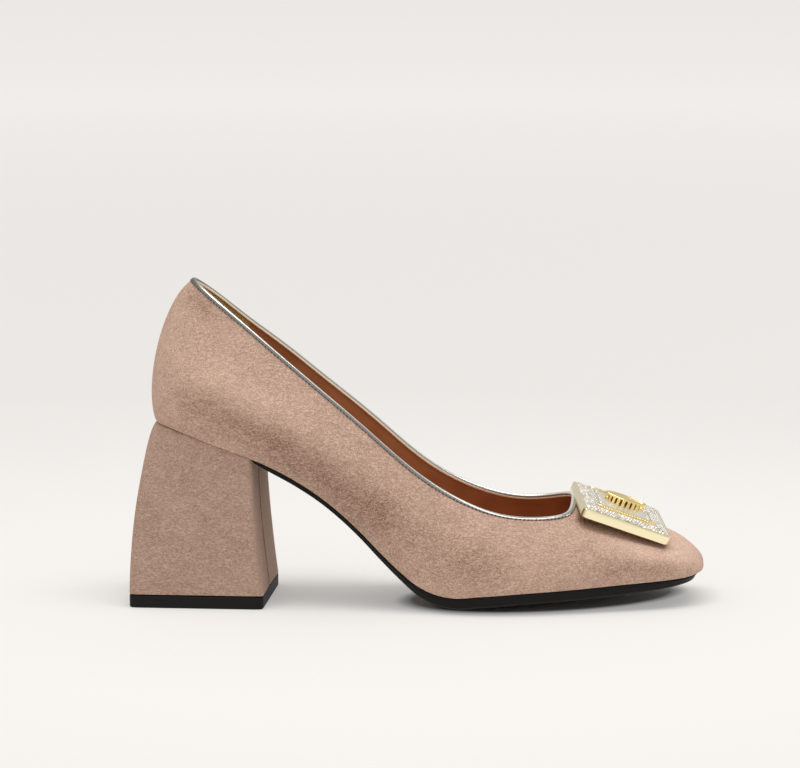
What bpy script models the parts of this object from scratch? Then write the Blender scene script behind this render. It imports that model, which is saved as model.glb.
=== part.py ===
"""Right-foot pump: lasted suede shell, bound collar, insole, sole, swept block heel and a square ornament.

Sizes are millimetres, taken from the back edge of the heel's top piece, the heel's middle line and the floor.
+X runs to the toe, -Y is the outer side of the foot and +Z is up.
"""

import math

import bmesh
import bpy
import numpy as np
from mathutils import Matrix, Vector

# Scale and frame
MM = 0.001
FRAME_X = 119.35
FRAME_Y = 2.0

# Shell and binding
WALL = 1.6
GAP = 0.3
COLUMNS_PER_BAY = 4
RIB_ROWS = 13
BINDING_SKIN = 0.7
BINDING_DROP = 2.0
BINDING_SOFTNESS = 0.45

# Sole and insole
SOLE_INSET = 0.5
SOLE_TUCK = 0.7
INSOLE_INSET = 2.1
INSOLE_THICK = 1.8
ROWS_ACROSS = 8
CROWN_POWER = 2.2
CROWN_FULL_WIDTH = 45.0

# Heel and top piece
HEEL_INSET = 0.8
TOP_PIECE_LENGTH = 56.5
TOP_PIECE_WIDTH = 57.5
TOP_PIECE_THICK = 5.4
TOP_PIECE_ROUND = 1.5
HEEL_TURN = 1.1
BACK_SWEEP_POWER = 1.85
SIDE_SWEEP_POWER = 1.25
BREAST_SWEEP_POWER = 1.6
HEEL_LEVELS = (0.0, 0.2, 0.38, 0.54, 0.68, 0.79, 0.88, 0.945, 0.985, 1.0)

# Ornament
PLATE_SIDE = 39.6
PLATE_THICK = 4.1
PLATE_CORNER = 3.2
PLATE_EDGE = 0.4
CORNER_SEGMENTS = 4
PLATE_RELIEF = 4.2
PLATE_FIT = 0.1
VAMP_BAYS = 3
VAMP_BLOCK_DEPTH = 12.0
STEP_SIDE = 27.0
STEP_RISE = 1.0
RIDGE_LENGTH = 26.4
RIDGE_WIDTH = 1.7
RIDGE_RISE = 2.0
RIDGE_ROUND = 0.7
RIDGE_SETBACK = 1.4
BOSS_LENGTH = 18.0
BOSS_WIDTH = 8.0
BOSS_RISE = 4.4
BOSS_DOME = 0.9
BOSS_SHOULDER = 0.3
BOSS_BROW = 0.93
BOSS_CROWN = 0.6
BOSS_CROWN_DROP = 0.25
BOSS_FLUTES = 24
POINTS_PER_FLUTE = 3
FLUTE_DEPTH = 0.35
PLATE_CENTRE = (204.8, 5.0, 38.7)
PLATE_PITCH = 20.0
PLATE_ROLL = 8.5
PLATE_TURN = 12.0

# One row for each section from the back of the heel to the toe. The feather is the edge where the shell meets
# the sole, and the top is the collar edge. Belly and brow are the reach and the rise of the rib's swell above
# the feather and below the collar. Lean drops the brow on the outer side and lifts it on the inner side.
SECTION_COLUMNS = (
    "feather_x", "outer_y", "inner_y",
    "top_x", "top_outer_y", "top_inner_y", "top_outer_z", "top_inner_z",
    "belly_out", "belly_up", "brow_out", "brow_down", "lean",
)
SECTIONS = {
    "back": (9.0, 0.0, 0.0, 24.8, 0.0, 0.0, 135.1, 135.1, 6.1, 14.2, 13.3, 7.8, 0.0),
    "back_corner": (15.0, -18.0, 18.0, 31.5, -10.8, 10.8, 130.5, 129.2, 6.0, 16.0, 8.6, 15.0, 0.0),
    "seat": (33.0, -25.8, 25.8, 46.8, -18.5, 18.5, 119.0, 116.1, 6.0, 15.0, 8.0, 17.0, 0.0),
    "breast": (51.5, -25.8, 25.0, 61.5, -21.5, 21.5, 107.0, 104.8, 6.0, 14.0, 7.0, 15.0, 0.0),
    "waist_rear": (68.0, -25.3, 22.5, 76.0, -23.0, 23.0, 95.0, 93.0, 6.0, 13.0, 6.0, 14.0, 0.0),
    "waist": (94.0, -26.3, 21.0, 100.0, -24.2, 24.0, 74.8, 73.6, 6.0, 12.0, 6.0, 12.0, 0.0),
    "waist_front": (120.0, -30.8, 28.0, 124.0, -25.3, 25.5, 55.0, 53.8, 5.5, 13.0, 6.5, 10.0, 0.0),
    "ball_rear": (146.0, -36.7, 38.0, 148.0, -25.2, 27.3, 42.4, 42.6, 4.5, 13.0, 9.0, 7.0, 0.0),
    "ball": (176.0, -33.2, 41.0, 166.0, -22.0, 27.0, 38.7, 40.2, 4.0, 13.0, 10.5, 5.5, 1.0),
    "forefoot": (205.0, -24.3, 39.0, 179.4, -15.5, 22.0, 38.7, 42.2, 4.3, 13.0, 12.0, 8.0, 3.0),
    "toe_corner": (233.0, -11.0, 32.6, 184.0, -7.5, 14.5, 40.6, 43.3, 5.2, 12.5, 25.0, 14.0, 3.0),
    "toe": (237.4, 11.5, 11.5, 184.6, 4.5, 4.5, 42.7, 42.7, 8.5, 13.0, 31.0, 16.5, 0.0),
}

# Rows of the bottom from the heel to the toe: height of the feather, how far the middle hangs below it, and
# the thickness of the sole.
BOTTOM_COLUMNS = ("x", "feather_z", "crown", "sole_thick")
BOTTOM = (
    (5.0, 74.9, 0.0, 2.2),
    (15.0, 75.0, 0.0, 2.2),
    (22.0, 73.2, 0.0, 2.2),
    (33.0, 69.4, 0.0, 2.2),
    (43.0, 65.7, 0.0, 2.2),
    (53.0, 62.0, 0.0, 2.2),
    (62.0, 57.9, 0.4, 2.2),
    (72.0, 52.3, 0.8, 2.2),
    (80.0, 47.0, 1.2, 2.2),
    (88.5, 40.3, 1.6, 2.3),
    (97.0, 32.5, 2.0, 2.4),
    (105.0, 24.4, 2.5, 2.6),
    (113.5, 16.6, 3.0, 3.0),
    (120.0, 11.6, 3.3, 3.5),
    (127.0, 8.4, 3.7, 3.9),
    (135.0, 7.0, 4.0, 4.1),
    (147.0, 7.9, 4.3, 4.2),
    (164.0, 9.2, 4.6, 4.1),
    (188.0, 10.4, 4.5, 4.0),
    (205.0, 11.4, 4.0, 3.8),
    (225.0, 12.4, 2.8, 2.9),
    (240.0, 13.1, 1.4, 1.3),
)

SUEDE_COLOUR = (0.42, 0.28, 0.21)
BINDING_COLOUR = (0.62, 0.58, 0.54)
INSOLE_COLOUR = (0.22, 0.09, 0.04)
SOLE_COLOUR = (0.012, 0.012, 0.011)
GOLD_COLOUR = (0.85, 0.66, 0.33)


def clear_scene():
    for old in list(bpy.data.objects):
        bpy.data.objects.remove(old, do_unlink=True)


def new_collection(name):
    collection = bpy.data.collections.new(name)
    bpy.context.scene.collection.children.link(collection)
    return collection


def material(name, colour, roughness, metallic=0.0):
    made = bpy.data.materials.new(name)
    made.use_nodes = True
    shader = made.node_tree.nodes["Principled BSDF"]
    shader.inputs["Base Color"].default_value = (*colour, 1.0)
    shader.inputs["Roughness"].default_value = roughness
    shader.inputs["Metallic"].default_value = metallic
    return made


def add_object(name, mesh, surface, collection, smooth=True):
    mesh.materials.clear()
    mesh.materials.append(surface)
    for face in mesh.polygons:
        face.use_smooth = smooth
    made = bpy.data.objects.new(name, mesh)
    collection.objects.link(made)
    return made


def to_frame(points):
    """Points in metres in the part's frame, from millimetres at the heel."""
    return (np.asarray(points, float) - (FRAME_X, FRAME_Y, 0.0)) * MM


def mesh_from(name, points, faces):
    """A mesh with doubled points joined, so that a row that shrinks to a point closes."""
    mesh = bpy.data.meshes.new(name)
    mesh.from_pydata([tuple(point) for point in to_frame(points)], [], faces)
    shape = bmesh.new()
    shape.from_mesh(mesh)
    bmesh.ops.remove_doubles(shape, verts=shape.verts, dist=0.01 * MM)
    bmesh.ops.recalc_face_normals(shape, faces=shape.faces)
    shape.to_mesh(mesh)
    shape.free()
    return mesh


def bottom_at(x, column):
    """Smooth value of a column of the bottom's table at x."""
    table = np.array(BOTTOM)
    xs = table[:, 0]
    values = table[:, BOTTOM_COLUMNS.index(column)]
    slopes = np.gradient(values, xs)
    x = np.clip(x, xs[0], xs[-1])
    bay = np.clip(np.searchsorted(xs, x) - 1, 0, len(xs) - 2)
    width = xs[bay + 1] - xs[bay]
    s = (x - xs[bay]) / width
    start = (1 + 2 * s) * (1 - s) ** 2 * values[bay] + s * (1 - s) ** 2 * width * slopes[bay]
    end = s**2 * (3 - 2 * s) * values[bay + 1] + s**2 * (s - 1) * width * slopes[bay + 1]
    return start + end


def closed_spline(rows, lengths, per_bay):
    """Points of the smooth closed curve through the rows, with the same count in each bay."""
    count = len(rows)
    after = np.roll(np.arange(count), -1)
    before = np.roll(np.arange(count), 1)
    system = np.zeros((count, count))
    slopes = (rows[after] - rows) / lengths[:, None]
    for i in range(count):
        system[i, before[i]] += lengths[before[i]] / 6
        system[i, i] += (lengths[before[i]] + lengths[i]) / 3
        system[i, after[i]] += lengths[i] / 6
    bend = np.linalg.solve(system, slopes - slopes[before])
    points = []
    for i in range(count):
        for step in range(per_bay):
            s = step / per_bay
            r = 1 - s
            curl = (r**3 - r) * bend[i] + (s**3 - s) * bend[after[i]]
            points.append(r * rows[i] + s * rows[after[i]] + curl * lengths[i] ** 2 / 6)
    return np.array(points)


def plan_normals(points):
    """Unit outward directions in plan of a closed curve that runs back, outer side, toe, inner side."""
    run = np.roll(points, -1, axis=0) - np.roll(points, 1, axis=0)
    normals = np.stack([run[:, 1], -run[:, 0], np.zeros(len(run))], axis=1)
    return normals / np.linalg.norm(normals, axis=1)[:, None]


def section_rings():
    """Feather, lower handle, upper handle and collar edge of every rib, as four closed rings of points."""
    table = np.array(list(SECTIONS.values()))
    column = dict(zip(SECTION_COLUMNS, table.T))
    sides = []
    for side, lean in (("outer", 1.0), ("inner", -1.0)):
        feather = (column["feather_x"], column[f"{side}_y"])
        top = (column["top_x"], column[f"top_{side}_y"], column[f"top_{side}_z"])
        brow_down = column["brow_down"] + lean * column["lean"]
        swell = (column["belly_out"], column["belly_up"], column["brow_out"], brow_down)
        sides.append(np.stack([*feather, *top, *swell], axis=1))
    outer, inner = sides
    rows = np.concatenate([outer, inner[-2:0:-1]])
    ahead = np.roll(rows, -1, axis=0) - rows
    lengths = 0.5 * (np.linalg.norm(ahead[:, :2], axis=1) + np.linalg.norm(ahead[:, 2:5], axis=1))
    ring = closed_spline(rows, lengths, COLUMNS_PER_BAY)
    feather = np.stack([ring[:, 0], ring[:, 1], bottom_at(ring[:, 0], "feather_z")], axis=1)
    collar = ring[:, 2:5]
    up = np.array([0.0, 0.0, 1.0])
    low = feather + plan_normals(feather) * ring[:, 5:6] + up * ring[:, 6:7]
    high = collar + plan_normals(collar) * ring[:, 7:8] - up * ring[:, 8:9]
    return feather, low, high, collar


def shell_grid(rings):
    """Outside of the shell: a row of points for each height up the ribs."""
    feather, low, high, collar = rings
    rows = []
    for v in np.linspace(0.0, 1.0, RIB_ROWS + 1):
        r = 1 - v
        rows.append(r**3 * feather + 3 * r**2 * v * low + 3 * r * v**2 * high + v**3 * collar)
    return np.array(rows)


def grid_faces(rows, columns, first=0, closed=False):
    """Quads of a grid of points that is numbered row by row."""
    faces = []
    for i in range(rows - 1):
        for j in range(columns if closed else columns - 1):
            k = (j + 1) % columns
            here = first + i * columns
            above = here + columns
            faces.append((here + j, here + k, above + k, above + j))
    return faces


def build_upper(grid, surface, collection):
    rows, columns, _ = grid.shape
    mesh = bpy.data.meshes.new("upper")
    points = [tuple(point) for point in to_frame(grid.reshape(-1, 3))]
    mesh.from_pydata(points, [], grid_faces(rows, columns, closed=True))
    upper = add_object("upper", mesh, surface, collection)
    wall = upper.modifiers.new("wall", "SOLIDIFY")
    wall.thickness = WALL * MM
    wall.offset = -1.0
    wall.use_even_offset = True
    wall.use_rim = True


def build_binding(grid, surface, collection):
    """A channel that wraps the collar edge, outside and inside."""
    edge = grid[-1]
    rise = edge - grid[-2]
    rise /= np.linalg.norm(rise, axis=1)[:, None]
    run = np.roll(edge, -1, axis=0) - np.roll(edge, 1, axis=0)
    out = np.cross(run, rise)
    out /= np.linalg.norm(out, axis=1)[:, None]
    inside = -WALL - GAP
    over = GAP + BINDING_SKIN
    soft = BINDING_SOFTNESS * BINDING_SKIN
    profile = (
        (GAP, -BINDING_DROP),
        (over, -BINDING_DROP),
        (over, over - soft),
        (over - soft, over),
        (inside - BINDING_SKIN + soft, over),
        (inside - BINDING_SKIN, over - soft),
        (inside - BINDING_SKIN, -BINDING_DROP),
        (inside, -BINDING_DROP),
        (inside, GAP),
        (GAP, GAP),
    )
    loop = np.array([edge + out * across + rise * along for across, along in profile])
    count, columns, _ = loop.shape
    faces = grid_faces(count + 1, columns, closed=True)
    total = count * columns
    faces = [tuple(index % total for index in face) for face in faces]
    mesh = mesh_from("topline_binding", loop.reshape(-1, 3), faces)
    add_object("topline_binding", mesh, surface, collection)


def edge_pairs(feather, inset, first, last):
    """Outer and inner edge points of the rungs from one column to another, drawn in from the feather."""
    drawn = feather - plan_normals(feather) * inset
    columns = np.arange(first, last + 1)
    return drawn[columns], drawn[-columns]


def bed(outer, inner, lift):
    """Grid of rungs across the bed that the shell stands on, hanging in the middle by the crown."""
    across = np.linspace(0.0, 1.0, ROWS_ACROSS + 1)[None, :, None]
    grid = outer[:, None] * (1 - across) + inner[:, None] * across
    width = np.linalg.norm(outer - inner, axis=1)[:, None]
    hang = (1 - np.abs(2 * across[..., 0] - 1) ** CROWN_POWER) * np.minimum(width / CROWN_FULL_WIDTH, 1.0)
    height = bottom_at(grid[..., 0], "feather_z") - bottom_at(grid[..., 0], "crown") * hang
    grid[..., 2] = height + lift
    return grid


def slab_mesh(name, top, bottom):
    """Closed solid between two grids of the same size."""
    rows, columns, _ = top.shape
    total = rows * columns
    faces = grid_faces(rows, columns) + [face[::-1] for face in grid_faces(rows, columns, first=total)]
    rim = [i * columns for i in range(rows)]
    rim += [(rows - 1) * columns + j for j in range(1, columns)]
    rim += [i * columns + columns - 1 for i in range(rows - 2, -1, -1)]
    rim += list(range(columns - 2, 0, -1))
    for here, there in zip(rim, rim[1:] + rim[:1]):
        faces.append((here, there, total + there, total + here))
    return mesh_from(name, np.concatenate([top.reshape(-1, 3), bottom.reshape(-1, 3)]), faces)


def build_insole(feather, surface, collection):
    toe = (len(SECTIONS) - 1) * COLUMNS_PER_BAY
    outer, inner = edge_pairs(feather, INSOLE_INSET, 0, toe)
    mesh = slab_mesh("insole", bed(outer, inner, INSOLE_THICK), bed(outer, inner, 0.0))
    add_object("insole", mesh, surface, collection)


def heel_turn():
    """Matrix that turns the heel about the middle of its outer side, so that its inner side sits further on."""
    pivot = Matrix.Translation((0.5 * TOP_PIECE_LENGTH, -0.5 * TOP_PIECE_WIDTH, 0.0))
    return pivot @ Matrix.Rotation(math.radians(-HEEL_TURN), 4, "Z") @ pivot.inverted()


def breast_skew(outer, inner):
    """How much further on the heel breast lies at the inner point than at the outer one."""
    return (inner[1] - outer[1]) * math.tan(math.radians(HEEL_TURN))


def build_outsole(feather, surface, collection):
    """Sole from the heel breast to the toe. The middle of the forefoot is flattened on the floor."""
    breast = list(SECTIONS).index("breast") * COLUMNS_PER_BAY
    toe = (len(SECTIONS) - 1) * COLUMNS_PER_BAY
    faces = []
    for inset in (SOLE_INSET, SOLE_INSET + SOLE_TUCK):
        outer, inner = edge_pairs(feather, inset, breast, toe)
        outer[0, 0] += GAP
        inner[0, 0] += GAP + breast_skew(outer[0], inner[0])
        faces.append(bed(outer, inner, -GAP))
    top, bottom = faces
    bottom[..., 2] = np.maximum(bottom[..., 2] - bottom_at(bottom[..., 0], "sole_thick"), 0.0)
    add_object("outsole", slab_mesh("outsole", top, bottom), surface, collection)


def build_heel(feather, surface, collection):
    """Block lofted from the seat's outline to the square of the top piece."""
    corner = COLUMNS_PER_BAY
    breast = list(SECTIONS).index("breast") * COLUMNS_PER_BAY
    outer, inner = edge_pairs(feather, HEEL_INSET, 0, breast)
    inner[-1, 0] += breast_skew(outer[-1], inner[-1])
    seat = np.concatenate([outer[::-1], inner[1:]])
    seat[:, 2] = bottom_at(seat[:, 0], "feather_z") - GAP
    back = np.minimum(np.arange(breast, -1, -1) / corner, 1.0)
    side = np.clip((np.arange(breast, -1, -1) - corner) / (breast - corner), 0.0, 1.0)
    foot = np.stack([TOP_PIECE_LENGTH * side, -0.5 * TOP_PIECE_WIDTH * back], axis=1)
    foot[breast - corner] += TOP_PIECE_ROUND * (1 - math.sqrt(0.5))
    foot = np.concatenate([foot, foot[-2::-1] * (1, -1)])
    foot = np.array([heel_turn() @ Vector((x, y, 0.0)) for x, y in foot])
    side = np.concatenate([side, side[-2::-1]])
    low = TOP_PIECE_THICK + GAP
    rings = []
    for level in HEEL_LEVELS:
        at_back = 1 - (1 - level**BACK_SWEEP_POWER) ** (1 / BACK_SWEEP_POWER)
        at_side = 1 - (1 - level**SIDE_SWEEP_POWER) ** (1 / SIDE_SWEEP_POWER)
        at_breast = 1 - (1 - level) ** BREAST_SWEEP_POWER
        blend = at_back + (at_breast - at_back) * side
        x = foot[:, 0] + (seat[:, 0] - foot[:, 0]) * blend
        y = foot[:, 1] + (seat[:, 1] - foot[:, 1]) * at_side
        z = low + (seat[:, 2] - low) * level
        rings.append(np.stack([x, y, z], axis=1))
    rings = np.array(rings)
    rows, columns, _ = rings.shape
    faces = grid_faces(rows, columns, closed=True)
    half = columns // 2
    top = (rows - 1) * columns
    for i in range(half):
        ladder = (i, i + 1, columns - 2 - i, columns - 1 - i)
        ladder = tuple(dict.fromkeys(ladder))
        faces.append(ladder[::-1])
        faces.append(tuple(top + index for index in ladder))
    add_object("heel", mesh_from("heel", rings.reshape(-1, 3), faces), surface, collection)


def split_edges(shape, rise):
    """Edges that climb more than the rise, and the rest."""
    upright = []
    level = []
    for edge in shape.edges:
        start, end = edge.verts
        group = upright if abs(start.co.z - end.co.z) > rise else level
        group.append(edge)
    return upright, level


def rounded_box(name, size, round_upright, round_all):
    """Mesh of a box about its own middle with rounded upright edges and softened edges."""
    shape = bmesh.new()
    bmesh.ops.create_cube(shape, size=MM)
    bmesh.ops.scale(shape, vec=size, verts=shape.verts)
    upright, level = split_edges(shape, 0.5 * size[2] * MM)
    settings = {"profile": 0.5, "affect": "EDGES", "clamp_overlap": True}
    bmesh.ops.bevel(shape, geom=upright, offset=round_upright * MM, segments=CORNER_SEGMENTS, **settings)
    if round_all:
        upright, level = split_edges(shape, 0.5 * size[2] * MM)
        bmesh.ops.bevel(shape, geom=level, offset=round_all * MM, segments=1, **settings)
    mesh = bpy.data.meshes.new(name)
    shape.to_mesh(mesh)
    shape.free()
    return mesh


def build_top_piece(surface, collection):
    size = (TOP_PIECE_LENGTH, TOP_PIECE_WIDTH, TOP_PIECE_THICK)
    mesh = rounded_box("top_piece", size, TOP_PIECE_ROUND, 0.0)
    centre = heel_turn() @ Vector((0.5 * TOP_PIECE_LENGTH, 0.0, 0.5 * TOP_PIECE_THICK))
    place = Matrix.Translation(Vector(to_frame(centre)))
    mesh.transform(place @ Matrix.Rotation(math.radians(-HEEL_TURN), 4, "Z"))
    add_object("top_piece", mesh, surface, collection, smooth=False)


def plate_frame():
    """Matrix of the ornament: +X to the toe, +Z out of its face, origin in the middle of its face."""
    turn = Matrix.Rotation(math.radians(PLATE_TURN), 4, "Z")
    pitch = Matrix.Rotation(math.radians(PLATE_PITCH), 4, "Y")
    roll = Matrix.Rotation(math.radians(PLATE_ROLL), 4, "X")
    return Matrix.Translation(Vector(to_frame(PLATE_CENTRE))) @ turn @ pitch @ roll


def vamp_block(grid):
    """Solid as high as the vamp and a little over it, to shape the underside of the plate."""
    toe = (len(SECTIONS) - 1) * COLUMNS_PER_BAY
    reach = VAMP_BAYS * COLUMNS_PER_BAY
    run = np.roll(grid, -1, axis=1) - np.roll(grid, 1, axis=1)
    rise = np.gradient(grid, axis=0)
    out = np.cross(run, rise)
    out /= np.linalg.norm(out, axis=2)[..., None]
    over = (grid + out * (GAP + PLATE_FIT))[RIB_ROWS // 3 :, toe - reach : toe + reach + 1]
    return slab_mesh("vamp_block", over, over - (0.0, 0.0, VAMP_BLOCK_DEPTH))


def build_plate(grid, surface, collection, cutters):
    """Cast plate with a raised step and two ridges. Its underside follows the vamp and clears the binding."""
    size = (PLATE_SIDE, PLATE_SIDE, PLATE_THICK)
    mesh = rounded_box("ornament_plate", size, PLATE_CORNER, PLATE_EDGE)
    mesh.transform(Matrix.Translation((0.0, 0.0, -0.5 * PLATE_THICK * MM)))
    plate = add_object("ornament_plate", mesh, surface, collection, smooth=False)
    plate.matrix_world = plate_frame()
    buried = 0.5 * PLATE_THICK
    step = rounded_box("step", (STEP_SIDE, STEP_SIDE, STEP_RISE + buried), PLATE_EDGE, 0.0)
    step.transform(Matrix.Translation((0.0, 0.0, 0.5 * (STEP_RISE - buried) * MM)))
    shapes = [step]
    for side in (-1, 1):
        size = (RIDGE_LENGTH, RIDGE_WIDTH, RIDGE_RISE + buried)
        ridge = rounded_box("ridge", size, RIDGE_ROUND, PLATE_EDGE)
        reach = 0.5 * STEP_SIDE - RIDGE_SETBACK
        ridge.transform(Matrix.Translation((0.0, side * reach * MM, 0.5 * (RIDGE_RISE - buried) * MM)))
        shapes.append(ridge)
    relief_side = PLATE_RELIEF * math.sqrt(2)
    relief = rounded_box("relief", (relief_side, 2 * PLATE_SIDE, relief_side), PLATE_EDGE, 0.0)
    relief.transform(Matrix.Rotation(math.radians(45), 4, "Y"))
    relief.transform(Matrix.Translation((-0.5 * PLATE_SIDE * MM, 0.0, -PLATE_THICK * MM)))
    shapes_and_uses = [(shape, "UNION", plate_frame()) for shape in shapes]
    shapes_and_uses.append((relief, "DIFFERENCE", plate_frame()))
    shapes_and_uses.append((vamp_block(grid), "DIFFERENCE", Matrix()))
    for shape, operation, place in shapes_and_uses:
        tool = add_object(f"tool_{shape.name}", shape, surface, cutters, smooth=False)
        tool.matrix_world = place
        tool.hide_render = True
        tool.display_type = "WIRE"
        change = plate.modifiers.new(shape.name, "BOOLEAN")
        change.operation = operation
        change.solver = "EXACT"
        change.object = tool


def build_boss(surface, collection):
    """Fluted oval boss with a plain low dome."""
    count = BOSS_FLUTES * POINTS_PER_FLUTE
    angle = np.linspace(0.0, 2 * math.pi, count, endpoint=False)
    flute = FLUTE_DEPTH * 0.5 * (1 + np.cos(BOSS_FLUTES * angle))
    base = STEP_RISE + GAP
    wall_top = base + BOSS_RISE - BOSS_DOME
    levels = (
        (1.0, 1.0, base),
        (1.0, 1.0, wall_top - BOSS_SHOULDER),
        (BOSS_BROW, 0.0, wall_top),
        (BOSS_CROWN, 0.0, base + BOSS_RISE - BOSS_CROWN_DROP),
        (0.0, 0.0, base + BOSS_RISE),
    )
    rings = []
    for shrink, fluted, height in levels:
        across = (0.5 * BOSS_LENGTH - fluted * flute) * shrink
        deep = (0.5 * BOSS_WIDTH - fluted * flute) * shrink
        ring = (across * np.cos(angle), deep * np.sin(angle), np.full(count, height))
        rings.append(np.stack(ring, axis=1))
    rings = np.array(rings)
    faces = grid_faces(len(levels), count, closed=True)
    faces.append(tuple(range(count))[::-1])
    points = rings.reshape(-1, 3) + (FRAME_X, FRAME_Y, 0.0)
    mesh = mesh_from("ornament_boss", points, faces)
    boss = add_object("ornament_boss", mesh, surface, collection)
    boss.matrix_world = plate_frame()


def main():
    clear_scene()
    parts = new_collection("suede_block_heel_pump")
    cutters = new_collection("cutters")
    suede = material("suede", SUEDE_COLOUR, 0.95)
    heel_suede = material("heel_suede", SUEDE_COLOUR, 0.95)
    binding = material("metallic_binding", BINDING_COLOUR, 0.35, 0.8)
    board = material("insole_leather", INSOLE_COLOUR, 0.55)
    sole = material("black_sole", SOLE_COLOUR, 0.45)
    lift = material("black_rubber", SOLE_COLOUR, 0.6)
    plate_gold = material("plate_gold", GOLD_COLOUR, 0.18, 1.0)
    boss_gold = material("boss_gold", GOLD_COLOUR, 0.18, 1.0)

    rings = section_rings()
    feather = rings[0]
    grid = shell_grid(rings)
    build_upper(grid, suede, parts)
    build_binding(grid, binding, parts)
    build_insole(feather, board, parts)
    build_outsole(feather, sole, parts)
    build_heel(feather, heel_suede, parts)
    build_top_piece(lift, parts)
    build_plate(grid, plate_gold, parts, cutters)
    build_boss(boss_gold, parts)
    bpy.context.view_layer.update()


main()
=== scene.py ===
"""Looks of a right-foot suede pump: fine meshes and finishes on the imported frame, with a studio.

Places in the tables are millimetres, taken from the back edge of the heel's top piece, the heel's middle
line and the floor. +X runs to the toe, -Y is the outer side of the foot and +Z is up.
"""

import math

import bpy
import numpy as np
from bpy.props import FloatProperty, FloatVectorProperty, IntProperty, PointerProperty
from mathutils import Matrix, Vector
from mathutils.bvhtree import BVHTree


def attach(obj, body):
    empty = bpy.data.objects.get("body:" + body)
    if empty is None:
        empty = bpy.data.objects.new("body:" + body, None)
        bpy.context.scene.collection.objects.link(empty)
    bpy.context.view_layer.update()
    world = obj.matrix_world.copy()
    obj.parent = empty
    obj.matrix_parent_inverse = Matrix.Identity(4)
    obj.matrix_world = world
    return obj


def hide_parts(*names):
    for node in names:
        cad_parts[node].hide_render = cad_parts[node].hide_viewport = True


bl_info = {
    "name": "Suede pump looks",
    "version": (1, 0, 0),
    "blender": (4, 5, 0),
    "location": "View3D > Sidebar > Pump",
    "description": "Dresses the frame of a suede block heel pump and sets up its studio",
    "category": "Object",
}

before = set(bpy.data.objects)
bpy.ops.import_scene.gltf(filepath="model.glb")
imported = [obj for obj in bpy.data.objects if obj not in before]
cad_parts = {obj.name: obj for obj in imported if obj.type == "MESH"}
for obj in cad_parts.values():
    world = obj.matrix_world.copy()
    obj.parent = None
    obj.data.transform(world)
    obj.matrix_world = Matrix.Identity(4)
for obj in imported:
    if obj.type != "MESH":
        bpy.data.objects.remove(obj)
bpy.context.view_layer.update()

MM = 0.001
BODY = "root"
PAINTED_SHADE = "painted_shade"
PAINTED_LIGHT = "painted_light"
TINY = 1e-9

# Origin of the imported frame
FRAME_X = 119.35
FRAME_Y = 2.0

# One row for each section from the back of the heel to the toe, as the shoe was lasted. The feather is the
# edge where the shell meets the sole, and the top is the collar edge. Belly and brow are the reach and the
# rise of the rib's swell above the feather and below the collar. Lean drops the brow on the outer side.
SECTION_COLUMNS = (
    "feather_x", "outer_y", "inner_y",
    "top_x", "top_outer_y", "top_inner_y", "top_outer_z", "top_inner_z",
    "belly_out", "belly_up", "brow_out", "brow_down", "lean",
)
SECTIONS = {
    "back": (9.0, 0.0, 0.0, 24.8, 0.0, 0.0, 135.1, 135.1, 6.1, 14.2, 13.3, 7.8, 0.0),
    "back_corner": (15.0, -18.0, 18.0, 31.5, -10.8, 10.8, 130.5, 129.2, 6.0, 16.0, 8.6, 15.0, 0.0),
    "seat": (33.0, -25.8, 25.8, 46.8, -18.5, 18.5, 119.0, 116.1, 6.0, 15.0, 8.0, 17.0, 0.0),
    "breast": (51.5, -25.8, 25.0, 61.5, -21.5, 21.5, 107.0, 104.8, 6.0, 14.0, 7.0, 15.0, 0.0),
    "waist_rear": (68.0, -25.3, 22.5, 76.0, -23.0, 23.0, 95.0, 93.0, 6.0, 13.0, 6.0, 14.0, 0.0),
    "waist": (94.0, -26.3, 21.0, 100.0, -24.2, 24.0, 74.8, 73.6, 6.0, 12.0, 6.0, 12.0, 0.0),
    "waist_front": (120.0, -30.8, 28.0, 124.0, -25.3, 25.5, 55.0, 53.8, 5.5, 13.0, 6.5, 10.0, 0.0),
    "ball_rear": (146.0, -36.7, 38.0, 148.0, -25.2, 27.3, 42.4, 42.6, 4.5, 13.0, 9.0, 7.0, 0.0),
    "ball": (176.0, -33.2, 41.0, 166.0, -22.0, 27.0, 38.7, 40.2, 4.0, 13.0, 10.5, 5.5, 1.0),
    "forefoot": (205.0, -24.3, 39.0, 179.4, -15.5, 22.0, 38.7, 42.2, 4.3, 13.0, 12.0, 8.0, 3.0),
    "toe_corner": (233.0, -11.0, 32.6, 184.0, -7.5, 14.5, 40.6, 43.3, 5.2, 12.5, 25.0, 14.0, 3.0),
    "toe": (237.4, 11.5, 11.5, 184.6, 4.5, 4.5, 42.7, 42.7, 8.5, 13.0, 31.0, 16.5, 0.0),
}

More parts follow.
